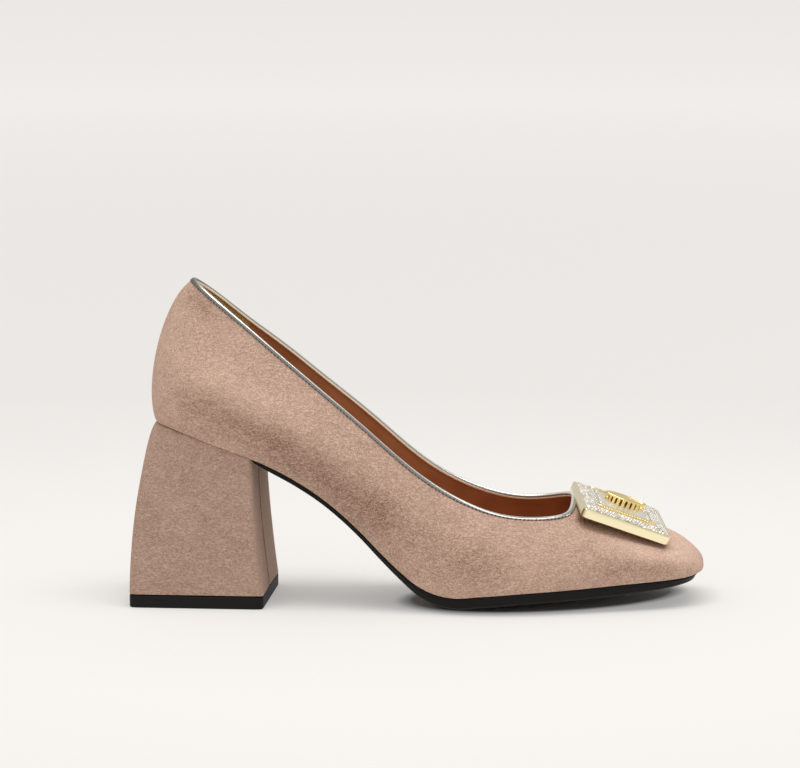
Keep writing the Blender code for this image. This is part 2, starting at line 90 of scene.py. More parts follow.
# Rows of the bottom from the heel to the toe: height of the feather, how far the middle hangs below it, and
# thickness of the sole.
BOTTOM_COLUMNS = ("x", "feather_z", "crown", "sole_thick")
BOTTOM = (
    (5.0, 74.9, 0.0, 2.2),
    (15.0, 75.0, 0.0, 2.2),
    (22.0, 73.2, 0.0, 2.2),
    (33.0, 69.4, 0.0, 2.2),
    (43.0, 65.7, 0.0, 2.2),
    (53.0, 62.0, 0.0, 2.2),
    (62.0, 57.9, 0.4, 2.2),
    (72.0, 52.3, 0.8, 2.2),
    (80.0, 47.0, 1.2, 2.2),
    (88.5, 40.3, 1.6, 2.3),
    (97.0, 32.5, 2.0, 2.4),
    (105.0, 24.4, 2.5, 2.6),
    (113.5, 16.6, 3.0, 3.0),
    (120.0, 11.6, 3.3, 3.5),
    (127.0, 8.4, 3.7, 3.9),
    (135.0, 7.0, 4.0, 4.1),
    (147.0, 7.9, 4.3, 4.2),
    (164.0, 9.2, 4.6, 4.1),
    (188.0, 10.4, 4.5, 4.0),
    (205.0, 11.4, 4.0, 3.8),
    (225.0, 12.4, 2.8, 2.9),
    (240.0, 13.1, 1.4, 1.3),
)

# Soft troughs of the suede, each along a line seen from the side. Depth is how far the middle of the trough
# goes in, and a negative depth is a ridge. Shade is painted shade: how much darker the suede is painted
# there, and a negative shade is a painted highlight. Rows with no depth are painted shade or highlight
# alone.
# Side is -1 for the outer side of the foot, 1 for the inner side and 0 for half the strength on both.
CREASE_COLUMNS = ("x_start", "z_start", "x_end", "z_end", "reach", "depth", "shade", "side")
CREASES = {
    "waist_hollow": (33.0, 84.0, 60.0, 71.0, 7.0, 0.8, 0.32, -1),
    "arch_hollow": (68.0, 66.0, 106.0, 40.0, 9.0, 0.7, 0.37, -1),
    "seat_swell": (36.0, 98.0, 84.0, 70.0, 8.0, -0.4, -0.15, -1),
    "counter_dent": (20.0, 94.0, 24.0, 88.0, 6.0, 0.35, 0.12, -1),
    "collar_dent": (25.5, 128.0, 31.0, 124.0, 3.6, 0.4, 0.22, -1),
    "ball_shade": (122.0, 30.0, 150.0, 19.0, 9.0, 0.2, 0.24, -1),
    "toe_hollow": (200.0, 18.5, 232.0, 17.5, 4.5, 0.45, 0.24, -1),
    "vamp_swell": (150.0, 27.0, 196.0, 27.0, 7.0, -0.35, 0.0, -1),
    # Painted highlight on the back of the quarter
    "counter_light": (17.0, 116.0, 21.0, 98.0, 9.0, 0.0, -0.12, -1),
    "inner_waist_hollow": (30.0, 86.0, 104.0, 42.0, 7.0, 0.8, 0.15, 1),
    # Painted highlight on the top of the toe
    "toe_cap_light": (206.0, 34.0, 232.0, 22.0, 8.0, 0.0, -0.75, 0),
    "toe_cap_press": (236.5, 24.5, 238.5, 22.5, 5.0, 2.4, 0.0, 0),
    "toe_cap_lip": (238.0, 13.8, 239.0, 13.8, 2.8, -2.6, 0.0, 0),
    # Painted shadow under the plate's near rim
    "under_plate": (188.0, 36.9, 222.5, 25.4, 1.5, 0.2, 0.75, -1),
}

# Lengths below are millimetres, and the rest are shares, powers, degrees or counts, as their names say.

# Faces that meet at less than these angles are shaded as one
SOFT_ANGLE = 60.0
FOLD_ANGLE = 50.0
BEAD_ANGLE = 40.0
RUBBER_ANGLE = 30.0
EDGE_ANGLE = 25.0

# Shell, binding and stitches
WALL = 1.6
COLLAR_WALL = 0.8
COLLAR_ROWS = 3
SKIVE_START = 0.85
LINING_THICK = 0.5
LINING_GLUE = 0.05
GRIP_THICK = 0.3
GRIP_GLUE = 0.02
GAP = 0.3
LASTED_ROLL = 0.25
LASTED_REACH = 0.035
CREASE_SIDE_BLEND = 3.0
CREASE_EDGE_RATE = 8.0
BINDING_SKIN = 0.55
BINDING_ARCH = 0.9
BINDING_TUCK = 0.35
TUCK_START_SHARE = 0.6
TUCK_BEVEL = 0.15
STRIP_GAP = 0.05
STRIP_LIFT = 0.1
# Painted highlight along the binding's fold and painted dark reflection on its leg: the highlight's start,
# its growth and the turn where it stops, its share inside and where the outside turns up, and its fade round
# the back
FOLD_HIGHLIGHT_START = 0.1
FOLD_HIGHLIGHT_RATE = 2.2
FOLD_BRIGHT_TURN = 0.55 * math.pi
INSIDE_HIGHLIGHT = 0.35
UPTURN_HIGHLIGHT = 0.4
BACK_DIMMING = 0.15
BACK_DIMMING_REACH = 9.0
ARCH_POINTS = 11
FACING_TOP = 0.5
FACING_THICK = 0.4
FACING_LEAN = 0.1
FACING_GAP = 0.1
FACING_POINTS = 8
STITCH_SIDES = 6
STITCH_RINGS = 4
STITCH_HALF_SHARE = 0.27
STITCH_TAPER = 0.85
STITCH_TIP = 0.05
STITCH_PROUD = 0.34
STITCH_LIFT = 0.05
LINING_STITCH_DROP = 0.35
LINING_STITCH_PROUD = 0.15

# Outer leg of the folded strip from its sewn edge up: shares of its skin and drop, and painted highlight of
# the foil
BINDING_LEG = ((0.6, 1.0, 0.0), (0.9, 0.8, 0.0), (1.0, 0.35, FOLD_HIGHLIGHT_START))

# Bottom
SOLE_INSET = 0.5
SOLE_TUCK = 0.7
SOLE_EDGE_ROWS = 6
SOLE_EDGE_BULGE = 0.3
SOLE_FILLET = 1.1
SOLE_START_THIN = 0.6
SOLE_START_RUN = 12.0
INSOLE_INSET = 1.9
INSOLE_TOP_INSET = 1.2
INSOLE_THICK = 1.8
INSOLE_FILLET = 0.35
INSOLE_EDGE_ROWS = 2
ROWS_ACROSS = 28
CROWN_POWER = 2.2
CROWN_FULL_WIDTH = 45.0
MERGE_STEP = 0.004

# Heel and top piece
HEEL_INSET = 0.5
HEEL_JOIN = 0.08
HEEL_TURN = 1.1
BREAST_TURN = 2.0
TOP_PIECE_LENGTH = 56.5
TOP_PIECE_WIDTH = 57.5
TOP_PIECE_THICK = 5.4
TOP_PIECE_EDGE = 0.5
BACK_SWEEP_POWER = 1.85
SIDE_SWEEP_POWER = 1.25
BREAST_SWEEP_POWER = 1.6
HEEL_ROWS = 44
HEEL_ROW_CROWDING = 1.5
BREAST_POINTS = 64
BREAST_CROWDING = 1.6
CORNER_PASSES = 3
BREAST_HOLLOW = 0.25
SEAM_SHARE = 0.55
SEAM_DEPTH = 3.0
SEAM_REACH = 0.011
SEAM_SHADE = 1.8
SEAM_SHADE_REACH = 0.018
BREAST_SHADE = -0.25
OUTER_PANEL_SHADE = 0.05
FOLD_HEIGHT = 0.4
FOLD_COUNT = 5.0
FOLD_REACH = 0.2
FOLD_DROP = 0.07

# Ornament
PLATE_SIDE = 39.6
PLATE_THICK = 4.1
PLATE_CORNER = 3.2
PLATE_EDGE = 0.35
PLATE_LEAST_CORNER = 0.3
UNDERSIDE_INSETS = (16.0, 12.0, 8.0, 4.5, 2.0, PLATE_EDGE)
LIP_WIDTH = 1.6
BED_DROP = -0.35
BED_GAP = 0.08
BED_LIFT = 0.1
PLATE_CENTRE = (204.8, 5.0, 38.7)
PLATE_PITCH = 20.0
PLATE_ROLL = 8.5
PLATE_TURN = 12.0
CORNER_POINTS = 8
STEP_SIDE = 27.0
STEP_RISE = 1.0
STEP_LEDGE = 0.2
BORDER_DROP = 0.2
STEP_COLUMNS = 2
STEP_COLUMN_SETBACK = 1.2
FIELD_RISE = 1.4
PLINTH_REACH = 0.5
PLINTH_ROWS = 6
PLINTH_START = 0.2
WIRE_WIDTH = 0.8
WIRE_RISE = 0.45
RIDGE_LENGTH = 26.4
RIDGE_WIDTH = 1.7
RIDGE_RISE = 2.0
RIDGE_SETBACK = 1.4
RIDGE_BAR_SHARE = 0.7
BAR_RINGS = 40
BAR_SIDES = 14
BAR_TIP = 0.04
BAR_FOOT = -0.4
BEAD_RADIUS = 0.5
BEAD_LINE_SHARE = 0.45
BEAD_LIFT = 0.35
BEAD_PITCH_SHARE = 2.3
BEAD_END_SHARE = 1.2
BEAD_RINGS = 6
BEAD_SIDES = 8
BEAD_TILT = 0.47 * math.pi
STONE_FACETS = 8
STONE_LEAN = 0.22
STONE_LIFT_SHARE = 0.25
STONE_ROW_SPARE = 0.3
STONE_SEED = 7
CLAW_RADIUS = 0.2
CLAW_RISE = 0.3
BOSS_LENGTH = 18.0
BOSS_WIDTH = 8.0
BOSS_RISE = 3.9
BOSS_SINK = 0.2
BOSS_FLUTES = 24
FLUTE_MIDDLE = 2.2
FLUTE_SWING = 2.6
POINTS_PER_FLUTE = 14

# Rings of a cut stone from its foot to its table, in radii: reach, rise, and turn in facets
STONE_LEVELS = ((0.9, -0.3, 0.0), (1.0, 0.02, 0.0), (0.84, 0.22, 0.5), (0.52, 0.34, 0.0))

# Levels of the boss from its foot to the top of its dome: inset from the outline, scale of the outline,
# share of the flutes' depth, and height below its top. The foot goes down into the plate.
BOSS_LEVELS = (
    (0.15, 1.0, 1.0, BOSS_RISE + GAP + BOSS_SINK),
    (0.15, 1.0, 1.0, 1.2),
    (0.1, 1.0, 0.9, 0.95),
    (0.2, 1.0, 0.0, 0.8),
    (-0.1, 1.0, 0.0, 0.65),
    (-0.2, 1.0, 0.0, 0.4),
    (-0.05, 1.0, 0.0, 0.1),
    (0.35, 1.0, 0.0, 0.0),
    (0.75, 1.0, 0.0, 0.15),
    (0.9, 1.0, 0.0, 0.5),
    (0.9, 0.93, 0.0, 0.5),
    (0.9, 0.7, 0.0, 0.3),
    (0.9, 0.4, 0.0, 0.15),
    (0.9, 0.15, 0.0, 0.1),
)

# Painted glow of the floor, in metres: where it starts to change, where it stops, and the glow at both ends
NEAR_GLOW = (0.22, 0.62, 0.3, 0.225)
FAR_GLOW = (0.45, 3.0, 0.0, 0.24)

# Painted contact shadow: the oval under the tread where the floor's glow is masked, in metres and radians,
# and where its edge fades, in half sides
CONTACT_SHADOW_CENTRE = (0.052, 0.01, 0.0)
CONTACT_SHADOW_TURN = (0.0, 0.0, 0.4)
CONTACT_SHADOW_HALVES = (0.062, 0.036, 1.0)
CONTACT_SHADOW_FADE = (0.92, 1.06)


def hex_colour(text):
    """Linear red, green and blue from an sRGB hex value."""
    parts = [int(text[i : i + 2], 16) / 255 for i in (1, 3, 5)]
    return tuple(p / 12.92 if p <= 0.04045 else ((p + 0.055) / 1.055) ** 2.4 for p in parts)


def length(name, description, millimetres):
    """A length that a user may change, kept in metres."""
    return FloatProperty(
        name=name, description=description, default=millimetres * MM, min=0.0, unit="LENGTH"
    )


def tone(name, description, text):
    """A colour that a user may change, given as an sRGB hex value."""
    start = hex_colour(text)
    return FloatVectorProperty(
        name=name, description=description, default=start, size=3, min=0.0, max=1.0, subtype="COLOR"
    )


def amount(name, description, default):
    """A plain number that a user may change."""
    return FloatProperty(name=name, description=description, default=default, min=0.0)


def angle(name, description, degrees):
    """An angle that a user may change, kept in radians."""
    return FloatProperty(
        name=name, description=description, default=math.radians(degrees), subtype="ANGLE"
    )


class PumpSizes(bpy.types.PropertyGroup):
    """Sizes of the fine pieces"""

    columns: IntProperty(
        name="Columns", description="Mesh columns between two sections", default=16, min=4, max=24
    )
    rows: IntProperty(
        name="Rows", description="Mesh rows from the sole to the collar", default=56, min=12, max=80
    )
    binding_drop: length("Binding drop", "How far the binding reaches below the collar edge", 1.25)
    facing_depth: length("Facing depth", "How far the facing reaches below the collar edge inside", 0.6)
    stitch_pitch: length("Stitch pitch", "Distance from stitch to stitch along the topline", 1.7)
    stitch_width: length("Stitch width", "Thickness of the sewing thread", 0.5)
    grip_depth: length("Heel grip depth", "How far the heel grip reaches below the collar", 48.0)
    stone: length("Stone", "Diameter of one crystal", 1.38)
    stone_pitch: length("Stone pitch", "Distance between two crystals", 1.4)


class PumpColours(bpy.types.PropertyGroup):
    """Colours of the finishes"""

    # The suede's painted shade and painted highlights are drawn from these two tones and past them
    suede_light: tone("Suede, brushed up", "Nap that catches the light", "#e4c2ae")
    suede_dark: tone("Suede, brushed down", "Nap that lies away from the light", "#997967")
    # The heel cover's painted shade at its seam is drawn from these two tones and past them
    heel_light: tone("Heel suede, brushed up", "Nap of the heel cover that catches the light", "#ceae9c")
    heel_dark: tone("Heel suede, brushed down", "Nap of the heel cover that lies away", "#8e705f")
    lining: tone("Lining", "Cognac lining leather", "#c4865a")
    lining_dark: tone("Lining, dark", "Darker clouds in the lining leather", "#a86c45")
    grip: tone("Heel grip", "Napped leather inside the back", "#dcbd82")
    grip_dark: tone("Heel grip, dark", "Darker fibres of the heel grip", "#a58244")
    # Painted highlight along the binding's fold, and painted dark reflection on its leg
    binding: tone("Binding, fold", "Metallic foil stretched bright over the fold", "#f6f2ec")
    binding_leg: tone("Binding, leg", "Metallic foil dulled at the sewn edge", "#625d59")
    facing: tone("Facing", "Champagne leather inside the collar", "#f8e0c4")
    thread: tone("Thread", "Sewing thread on the outside", "#2c2825")
    lining_thread: tone("Lining thread", "Sewing thread on the inside", "#24150b")
    sole: tone("Sole", "Edge ink of the sole", "#0a0a09")
    top_piece: tone("Top piece", "Moulded rubber under the heel", "#0b0b0a")
    gold: tone("Gold", "Pale gold plating", "#fff2ca")
    boss_gold: tone("Boss gold", "Deeper gold plating of the boss and the bars", "#ffe8a6")
    # Painted shade in the hollows between the boss's flutes
    boss_recess: tone("Boss recess", "Dark wax between the flutes of the boss", "#7a5c30")
    silver: tone("Setting", "Rhodium plating between the crystals", "#fdfaf3")
    # Painted reflection: each crystal facet is painted between these two tones
    crystal: tone("Crystal", "Foil backed crystal", "#fdf9f0")
    crystal_shade: tone("Crystal, smoky", "Crystal that looks back into the shade", "#d3cbbb")
    # The floor's glow is painted light, masked under the tread as a painted contact shadow
    floor: tone("Floor", "Acrylic sheet of the light table", "#c8c6c3")
    glow: tone("Glow", "Light that comes up through the table", "#fffdfa")
    room: tone("Room", "White walls that light the studio", "#fffefc")


class StageSettings(bpy.types.PropertyGroup):
    """Camera and lights"""

    azimuth: angle("Azimuth", "Turn of the camera towards the toe", 4.0)
    elevation: angle("Elevation", "Rise of the camera", 8.0)
    distance: length("Distance", "From the camera to its target", 1680.7)
    lens: amount("Lens", "Focal length in millimetres", 180.0)
    key_power: amount("Key power", "Overhead soft box in watts", 43.0)
    fill_power: amount("Fill power", "Soft box by the camera in watts", 2.5)
    world_strength: amount("Room light", "Light from the white room", 0.6)


def size(name):
    """A user's size in millimetres."""
    return getattr(bpy.context.scene.pump_sizes, name) / MM


def colour(name):
    """A user's colour with full alpha."""
    return (*getattr(bpy.context.scene.pump_colours, name), 1.0)


def to_frame(points):
    """Points in metres in the part's frame, from millimetres at the heel."""
    return (np.asarray(points, float) - (FRAME_X, FRAME_Y, 0.0)) * MM


# Small sums


def unit(vectors):
    """Vectors of length one in the same directions."""
    return vectors / np.linalg.norm(vectors, axis=-1, keepdims=True)


def full_turn(count):
    """Even angles round a circle."""
    return np.linspace(0.0, 2 * math.pi, count, endpoint=False)


def eased(share):
    """A share that starts and ends softly."""
    return share * share * (3 - 2 * share)


def soft_spot(distance, reach):
    """Strength of a soft spot: one at its middle, and fading over its reach."""
    return np.exp(-((distance / reach) ** 2))


def stacked(*grids):
    """Points of the grids in one list."""
    return np.concatenate([grid.reshape(-1, 3) for grid in grids])


# Shape of the last


def bottom_at(x, column):
    """Smooth value of a column of the bottom's table at x."""
    table = np.array(BOTTOM)
    xs = table[:, 0]
    values = table[:, BOTTOM_COLUMNS.index(column)]
    slopes = np.gradient(values, xs)
    x = np.clip(x, xs[0], xs[-1])
    bay = np.clip(np.searchsorted(xs, x) - 1, 0, len(xs) - 2)
    width = xs[bay + 1] - xs[bay]
    s = (x - xs[bay]) / width
    start = (1 + 2 * s) * (1 - s) ** 2 * values[bay] + s * (1 - s) ** 2 * width * slopes[bay]
    end = s**2 * (3 - 2 * s) * values[bay + 1] + s**2 * (s - 1) * width * slopes[bay + 1]
    return start + end


def closed_spline(rows, lengths, per_bay):
    """Points of the smooth closed curve through the rows, with the same count in each bay."""
    count = len(rows)
    after = np.roll(np.arange(count), -1)
    before = np.roll(np.arange(count), 1)
    system = np.zeros((count, count))
    slopes = (rows[after] - rows) / lengths[:, None]
    for i in range(count):
        system[i, before[i]] += lengths[before[i]] / 6
        system[i, i] += (lengths[before[i]] + lengths[i]) / 3
        system[i, after[i]] += lengths[i] / 6
    bend = np.linalg.solve(system, slopes - slopes[before])
    points = []
    for i in range(count):
        for step in range(per_bay):
            s = step / per_bay
            r = 1 - s
            curl = (r**3 - r) * bend[i] + (s**3 - s) * bend[after[i]]
            points.append(r * rows[i] + s * rows[after[i]] + curl * lengths[i] ** 2 / 6)
    return np.array(points)


def plan_normals(points):
    """Unit outward directions in plan of a closed curve that runs back, outer side, toe, inner side."""
    run = np.roll(points, -1, axis=0) - np.roll(points, 1, axis=0)
    return unit(np.stack([run[:, 1], -run[:, 0], np.zeros(len(run))], axis=1))


def section_rings():
    """Feather, lower handle, upper handle and collar edge of every rib, as four closed rings of points."""
    table = np.array(list(SECTIONS.values()))
    column = dict(zip(SECTION_COLUMNS, table.T))
    sides = []
    for side, lean in (("outer", 1.0), ("inner", -1.0)):
        feather = (column["feather_x"], column[f"{side}_y"])
        top = (column["top_x"], column[f"top_{side}_y"], column[f"top_{side}_z"])
        brow_down = column["brow_down"] + lean * column["lean"]
        swell = (column["belly_out"], column["belly_up"], column["brow_out"], brow_down)
        sides.append(np.stack([*feather, *top, *swell], axis=1))
    outer, inner = sides
    rows = np.concatenate([outer, inner[-2:0:-1]])
    ahead = np.roll(rows, -1, axis=0) - rows
    lengths = 0.5 * (np.linalg.norm(ahead[:, :2], axis=1) + np.linalg.norm(ahead[:, 2:5], axis=1))
    ring = closed_spline(rows, lengths, bpy.context.scene.pump_sizes.columns)
    feather = np.stack([ring[:, 0], ring[:, 1], bottom_at(ring[:, 0], "feather_z")], axis=1)
    collar = ring[:, 2:5]
    up = np.array([0.0, 0.0, 1.0])
    low = feather + plan_normals(feather) * ring[:, 5:6] + up * ring[:, 6:7]
    high = collar + plan_normals(collar) * ring[:, 7:8] - up * ring[:, 8:9]
    return feather, low, high, collar


def rib_heights():
    """Share of the way up the ribs at each row of the mesh."""
    return np.linspace(0.0, 1.0, bpy.context.scene.pump_sizes.rows + 1)


def wall_rows():
    """Thickness of the wall at each height, skived thin to the collar where the binding folds over."""
    share = np.clip((rib_heights() - SKIVE_START) / (1 - SKIVE_START), 0.0, 1.0)
    return (WALL + (COLLAR_WALL - WALL) * eased(share))[:, None, None]


def shell_grid():
    """Outside of the shell without creases: a closed row of points for each height up the ribs."""
    feather, low, high, collar = section_rings()
    rows = []
    for v in rib_heights():
        r = 1 - v
        rows.append(r**3 * feather + 3 * r**2 * v * low + 3 * r * v**2 * high + v**3 * collar)
    return np.array(rows)


def grid_normals(grid):
    """Unit outward directions of a grid whose rows are closed."""
    run = np.roll(grid, -1, axis=1) - np.roll(grid, 1, axis=1)
    return unit(np.cross(run, np.gradient(grid, axis=0)))


def creased(grid, normals):
    """The grid with its soft troughs and ridges pressed in, and the painted shade at each point."""
    depth = np.zeros(grid.shape[:2])
    shade = np.zeros(grid.shape[:2])
    for row in CREASES.values():
        crease = dict(zip(CREASE_COLUMNS, row))
        start = np.array([crease["x_start"], crease["z_start"]])
        run = np.array([crease["x_end"], crease["z_end"]]) - start
        away = grid[..., [0, 2]] - start
        along = np.clip(away @ run / (run @ run), 0.0, 1.0)
        gap = np.linalg.norm(away - along[..., None] * run, axis=2)
        one_side = 1 / (1 + np.exp(-crease["side"] * grid[..., 1] / CREASE_SIDE_BLEND))
        strength = soft_spot(gap, crease["reach"]) * one_side
        depth += crease["depth"] * strength
        shade += crease["shade"] * strength
    fade = np.minimum(CREASE_EDGE_RATE * np.sin(np.pi * rib_heights()), 1.0)[:, None]
    return grid - normals * (depth * fade)[..., None], shade


def edge_pairs(feather, inset, first, last):
    """Outer and inner edge points of the rungs from one column to another, drawn in from the feather."""
    drawn = feather - plan_normals(feather) * inset
    columns = np.arange(first, last + 1)
    return drawn[columns], drawn[-columns]


def bed(outer, inner, lift):
    """Grid of rungs across the bed that the shell stands on, hanging in the middle by the crown."""
    turn = np.linspace(0.0, math.pi, ROWS_ACROSS + 1)
    across = (0.5 - 0.5 * np.cos(turn))[None, :, None]
    grid = outer[:, None] * (1 - across) + inner[:, None] * across
    width = np.linalg.norm(outer - inner, axis=1)[:, None]
    full = np.minimum(width / CROWN_FULL_WIDTH, 1.0)
    hang = (1 - np.abs(2 * across[..., 0] - 1) ** CROWN_POWER) * full
    height = bottom_at(grid[..., 0], "feather_z") - bottom_at(grid[..., 0], "crown") * hang
    grid[..., 2] = height + lift
    return grid


def column_of(section):
    """Column of the mesh at a named section on the outer side."""
    return list(SECTIONS).index(section) * bpy.context.scene.pump_sizes.columns


# Meshes


def grid_faces(rows, columns, first=0, closed=False):
    """Quads of a grid of points that is numbered row by row."""
    faces = []
    for i in range(rows - 1):
        here = first + i * columns
        above = here + columns
        for j in range(columns if closed else columns - 1):
            k = (j + 1) % columns
            faces.append((here + j, here + k, above + k, above + j))
    return faces


def shell_faces(rows, columns, closed):
    """Faces of a thin wall between an outer grid and an inner grid that follow each other."""
    total = rows * columns
    faces = grid_faces(rows, columns, closed=closed)
    faces += [face[::-1] for face in grid_faces(rows, columns, first=total, closed=closed)]
    rims = [[j for j in range(columns)], [(rows - 1) * columns + j for j in range(columns)][::-1]]
    if closed:
        rims = [rim + rim[:1] for rim in rims]
    else:
        rim = rims[0] + [i * columns + columns - 1 for i in range(1, rows)]
        rim += [(rows - 1) * columns + j for j in range(columns - 2, -1, -1)]
        rim += [i * columns for i in range(rows - 2, -1, -1)]
        rims = [rim]
    for rim in rims:
        for here, there in zip(rim, rim[1:]):
            faces.append((there, here, total + here, total + there))
    return faces


def add_piece(name, points, faces, finish, slot, stands_for=None, smooth=None, place=None):
    """Mesh object that rides on the shoe. Points are millimetres at the heel, or in its own place."""
    mesh = bpy.data.meshes.new(name)
    places = to_frame(points) if place is None else np.asarray(points, float) * MM
    mesh.from_pydata(places.tolist(), [], faces)
    mesh.validate()
    if place is not None:
        mesh.transform(place)
    mesh.materials.append(finish)
    if smooth:
        mesh.shade_smooth()
        mesh.set_sharp_from_angle(angle=math.radians(smooth))
    else:
        mesh.shade_flat()
    piece = bpy.data.objects.new(name, mesh)
    bpy.context.scene.collection.objects.link(piece)
    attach(piece, BODY)
    if stands_for:
        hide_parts(stands_for)
    return piece


def paint(piece, name, values):
    """Stores a value at each point of a piece for its finish to read."""
    laid = piece.data.attributes.new(name, "FLOAT", "POINT")
    laid.data.foreach_set("value", np.asarray(values, float))


def lofted(rings):
    """Points and faces of closed rings stacked into a solid, with a fan of faces at both ends."""
    rings = np.asarray(rings, float)
    rows, columns, _ = rings.shape
    faces = grid_faces(rows, columns, closed=True)
    total = rows * columns
    points = np.concatenate([rings.reshape(-1, 3), [rings[0].mean(axis=0)], [rings[-1].mean(axis=0)]])
    top = total - columns
    for j in range(columns):
        k = (j + 1) % columns
        faces.append((k, j, total))
        faces.append((top + j, top + k, total + 1))
    return points, faces


def joined(shapes):
    """Points and faces of many small shapes as one mesh."""
    points = []
    faces = []
    for made, quads in shapes:
        faces += [tuple(corner + len(points) for corner in face) for face in quads]
        points += list(made)
    return np.array(points), faces


def slab(top, bottom, edge_rows, bulge):
    """Points and faces of a closed solid between two grids, with a rounded edge between their rims."""
    rows, columns, _ = top.shape
    total = rows * columns
    rim = [i * columns for i in range(rows)]
    rim += [(rows - 1) * columns + j for j in range(1, columns)]
    rim += [i * columns + columns - 1 for i in range(rows - 2, -1, -1)]
    rim += list(range(columns - 2, 0, -1))
    upper_rim = top.reshape(-1, 3)[rim]
    lower_rim = bottom.reshape(-1, 3)[rim]
    run = np.roll(upper_rim, -1, axis=0) - np.roll(upper_rim, 1, axis=0)
    out = np.stack([run[:, 1], -run[:, 0], np.zeros(len(rim))], axis=1)
    out /= np.maximum(np.linalg.norm(out, axis=1), TINY)[:, None]
    loops = [np.array(rim)]
    points = [top.reshape(-1, 3), bottom.reshape(-1, 3)]
    for k in range(1, edge_rows):
        s = k / edge_rows
        points.append(upper_rim * (1 - s) + lower_rim * s + out * bulge * math.sin(math.pi * s))
        loops.append(2 * total + (k - 1) * len(rim) + np.arange(len(rim)))
    loops.append(total + np.array(rim))
    faces = [face[::-1] for face in grid_faces(rows, columns)]
    faces += grid_faces(rows, columns, first=total)
    for here, below in zip(loops, loops[1:]):
        for j in range(len(rim)):
            k = (j + 1) % len(rim)
            faces.append((int(here[j]), int(here[k]), int(below[k]), int(below[j])))
    return np.concatenate(points), faces


def merged(points, faces):
    """The mesh with points at one place made one, so that a rung that shrinks to a point closes."""
    keys = np.round(points / MERGE_STEP).astype(int)
    _, first, index = np.unique(keys, axis=0, return_index=True, return_inverse=True)
    index = index.reshape(-1)
    kept = []
    for face in faces:
        corners = list(dict.fromkeys(int(index[corner]) for corner in face))
        if len(corners) > 2:
            kept.append(corners)
    return points[first], kept


def edge_distance(grid, outline):
    """Plan distance of each point of a grid from a closed outline."""
    start = outline[:, :2]
    run = np.roll(start, -1, axis=0) - start
    away = grid[..., None, :2] - start
    stretch = np.maximum((run * run).sum(-1), TINY)
    along = np.clip((away * run).sum(-1) / stretch, 0.0, 1.0)
    return np.linalg.norm(away - along[..., None] * run, axis=-1).min(axis=-1)


def fillet(distance, radius):
    """How far a rounded edge stands back at a distance from the rim."""
    inside = np.clip(radius - distance, 0.0, radius)
    return radius - np.sqrt(radius**2 - inside**2)


# Finishes


def set_inputs(tree, node, inputs):
    """Sets a node's inputs, and links those that are another node's output."""
    for name, value in inputs.items():
        if isinstance(value, bpy.types.NodeSocket):
            tree.links.new(value, node.inputs[name])
        else:
            node.inputs[name].default_value = value


def add_node(tree, kind, output, inputs, **fields):
    """Adds a shader node with its fields and inputs, and gives one of its outputs."""
    node = tree.nodes.new(kind)
    for field, value in fields.items():
        setattr(node, field, value)
    set_inputs(tree, node, inputs)
    return node.outputs[output]


def new_finish(name):
    """A material, its node tree, its shader and the place on the shoe that its patterns follow."""
    finish = bpy.data.materials.new(name)
    finish.use_nodes = True
    tree = finish.node_tree
    spot = add_node(tree, "ShaderNodeTexCoord", "Object", {})
    return finish, tree, tree.nodes["Principled BSDF"], spot


def per_metre(millimetres):
    """Texture scale that gives a pattern of this size."""
    return 1 / (millimetres * MM)


def suede_finish(name, light, dark, nap_turn):
    """Suede: split calf buffed to a short nap. No shine, worm-like strokes where the fibres lie over, and
    soft clouds where a hand has brushed them. The nap is 0.2 mm, and its strokes are drawn 0.6 mm wide to
    show. Painted shade and painted highlights stored on the points darken or lighten it."""
    finish, tree, shader, spot = new_finish(name)
    turn = {"Vector": spot, "Rotation": (0.0, nap_turn, 0.0), "Scale": (0.5, 1.0, 1.0)}
    lie = add_node(tree, "ShaderNodeMapping", "Vector", turn)
    # pattern size in mm, noise detail, noise distortion, lowest and highest noise that count, colour weight
    layers = (
        (lie, 0.62, 1.0, 1.2, 0.36, 0.64, 0.46),
        (spot, 0.42, 0.0, 0.0, 0.36, 0.64, 0.26),
        (lie, 4.5, 3.0, 0.8, 0.3, 0.7, 0.17),
        (spot, 34.0, 2.0, 0.5, 0.3, 0.7, 0.12),
    )
    least_share = 0.03
    # Painted shade and painted highlights stored on the points move the mix past the dark or the light tone
    shade = add_node(tree, "ShaderNodeAttribute", "Fac", {}, attribute_name=PAINTED_SHADE)
    falling = {0: shade, 1: -1.0, 2: least_share}
    share = add_node(tree, "ShaderNodeMath", "Value", falling, operation="MULTIPLY_ADD")
    heights = []
    for vector, pattern, detail, distortion, lowest, highest, weight in layers:
        noise = {"Vector": vector, "Scale": per_metre(pattern), "Detail": detail, "Distortion": distortion}
        height = add_node(tree, "ShaderNodeTexNoise", "Fac", noise)
        spread = {"Value": height, "From Min": lowest, "From Max": highest}
        height = add_node(tree, "ShaderNodeMapRange", "Result", spread)
        heights.append(height)
        weighed = {0: height, 1: weight, 2: share}
        share = add_node(tree, "ShaderNodeMath", "Value", weighed, operation="MULTIPLY_ADD")
    tints = {0: share, 6: colour(dark), 7: colour(light)}
    limits = {"clamp_factor": False, "clamp_result": True}
    base = add_node(tree, "ShaderNodeMix", 2, tints, data_type="RGBA", **limits)
    strokes = {"Height": heights[0], "Strength": 0.7, "Distance": 0.25 * MM}
    sockets = {
        "Base Color": base,
        "Roughness": 0.95,
        "Specular IOR Level": 0.12,
        "Sheen Weight": 0.45,
        "Sheen Roughness": 0.35,
        "Sheen Tint": colour(light),
        "Normal": add_node(tree, "ShaderNodeBump", "Normal", strokes),
    }
    set_inputs(tree, shader, sockets)
    return finish


def grip_finish():
    """Heel grip: napped lining leather. Matt and mottled, like a coarse suede."""
    return suede_finish("napped_grip_leather", "grip", "grip_dark", 0.4)


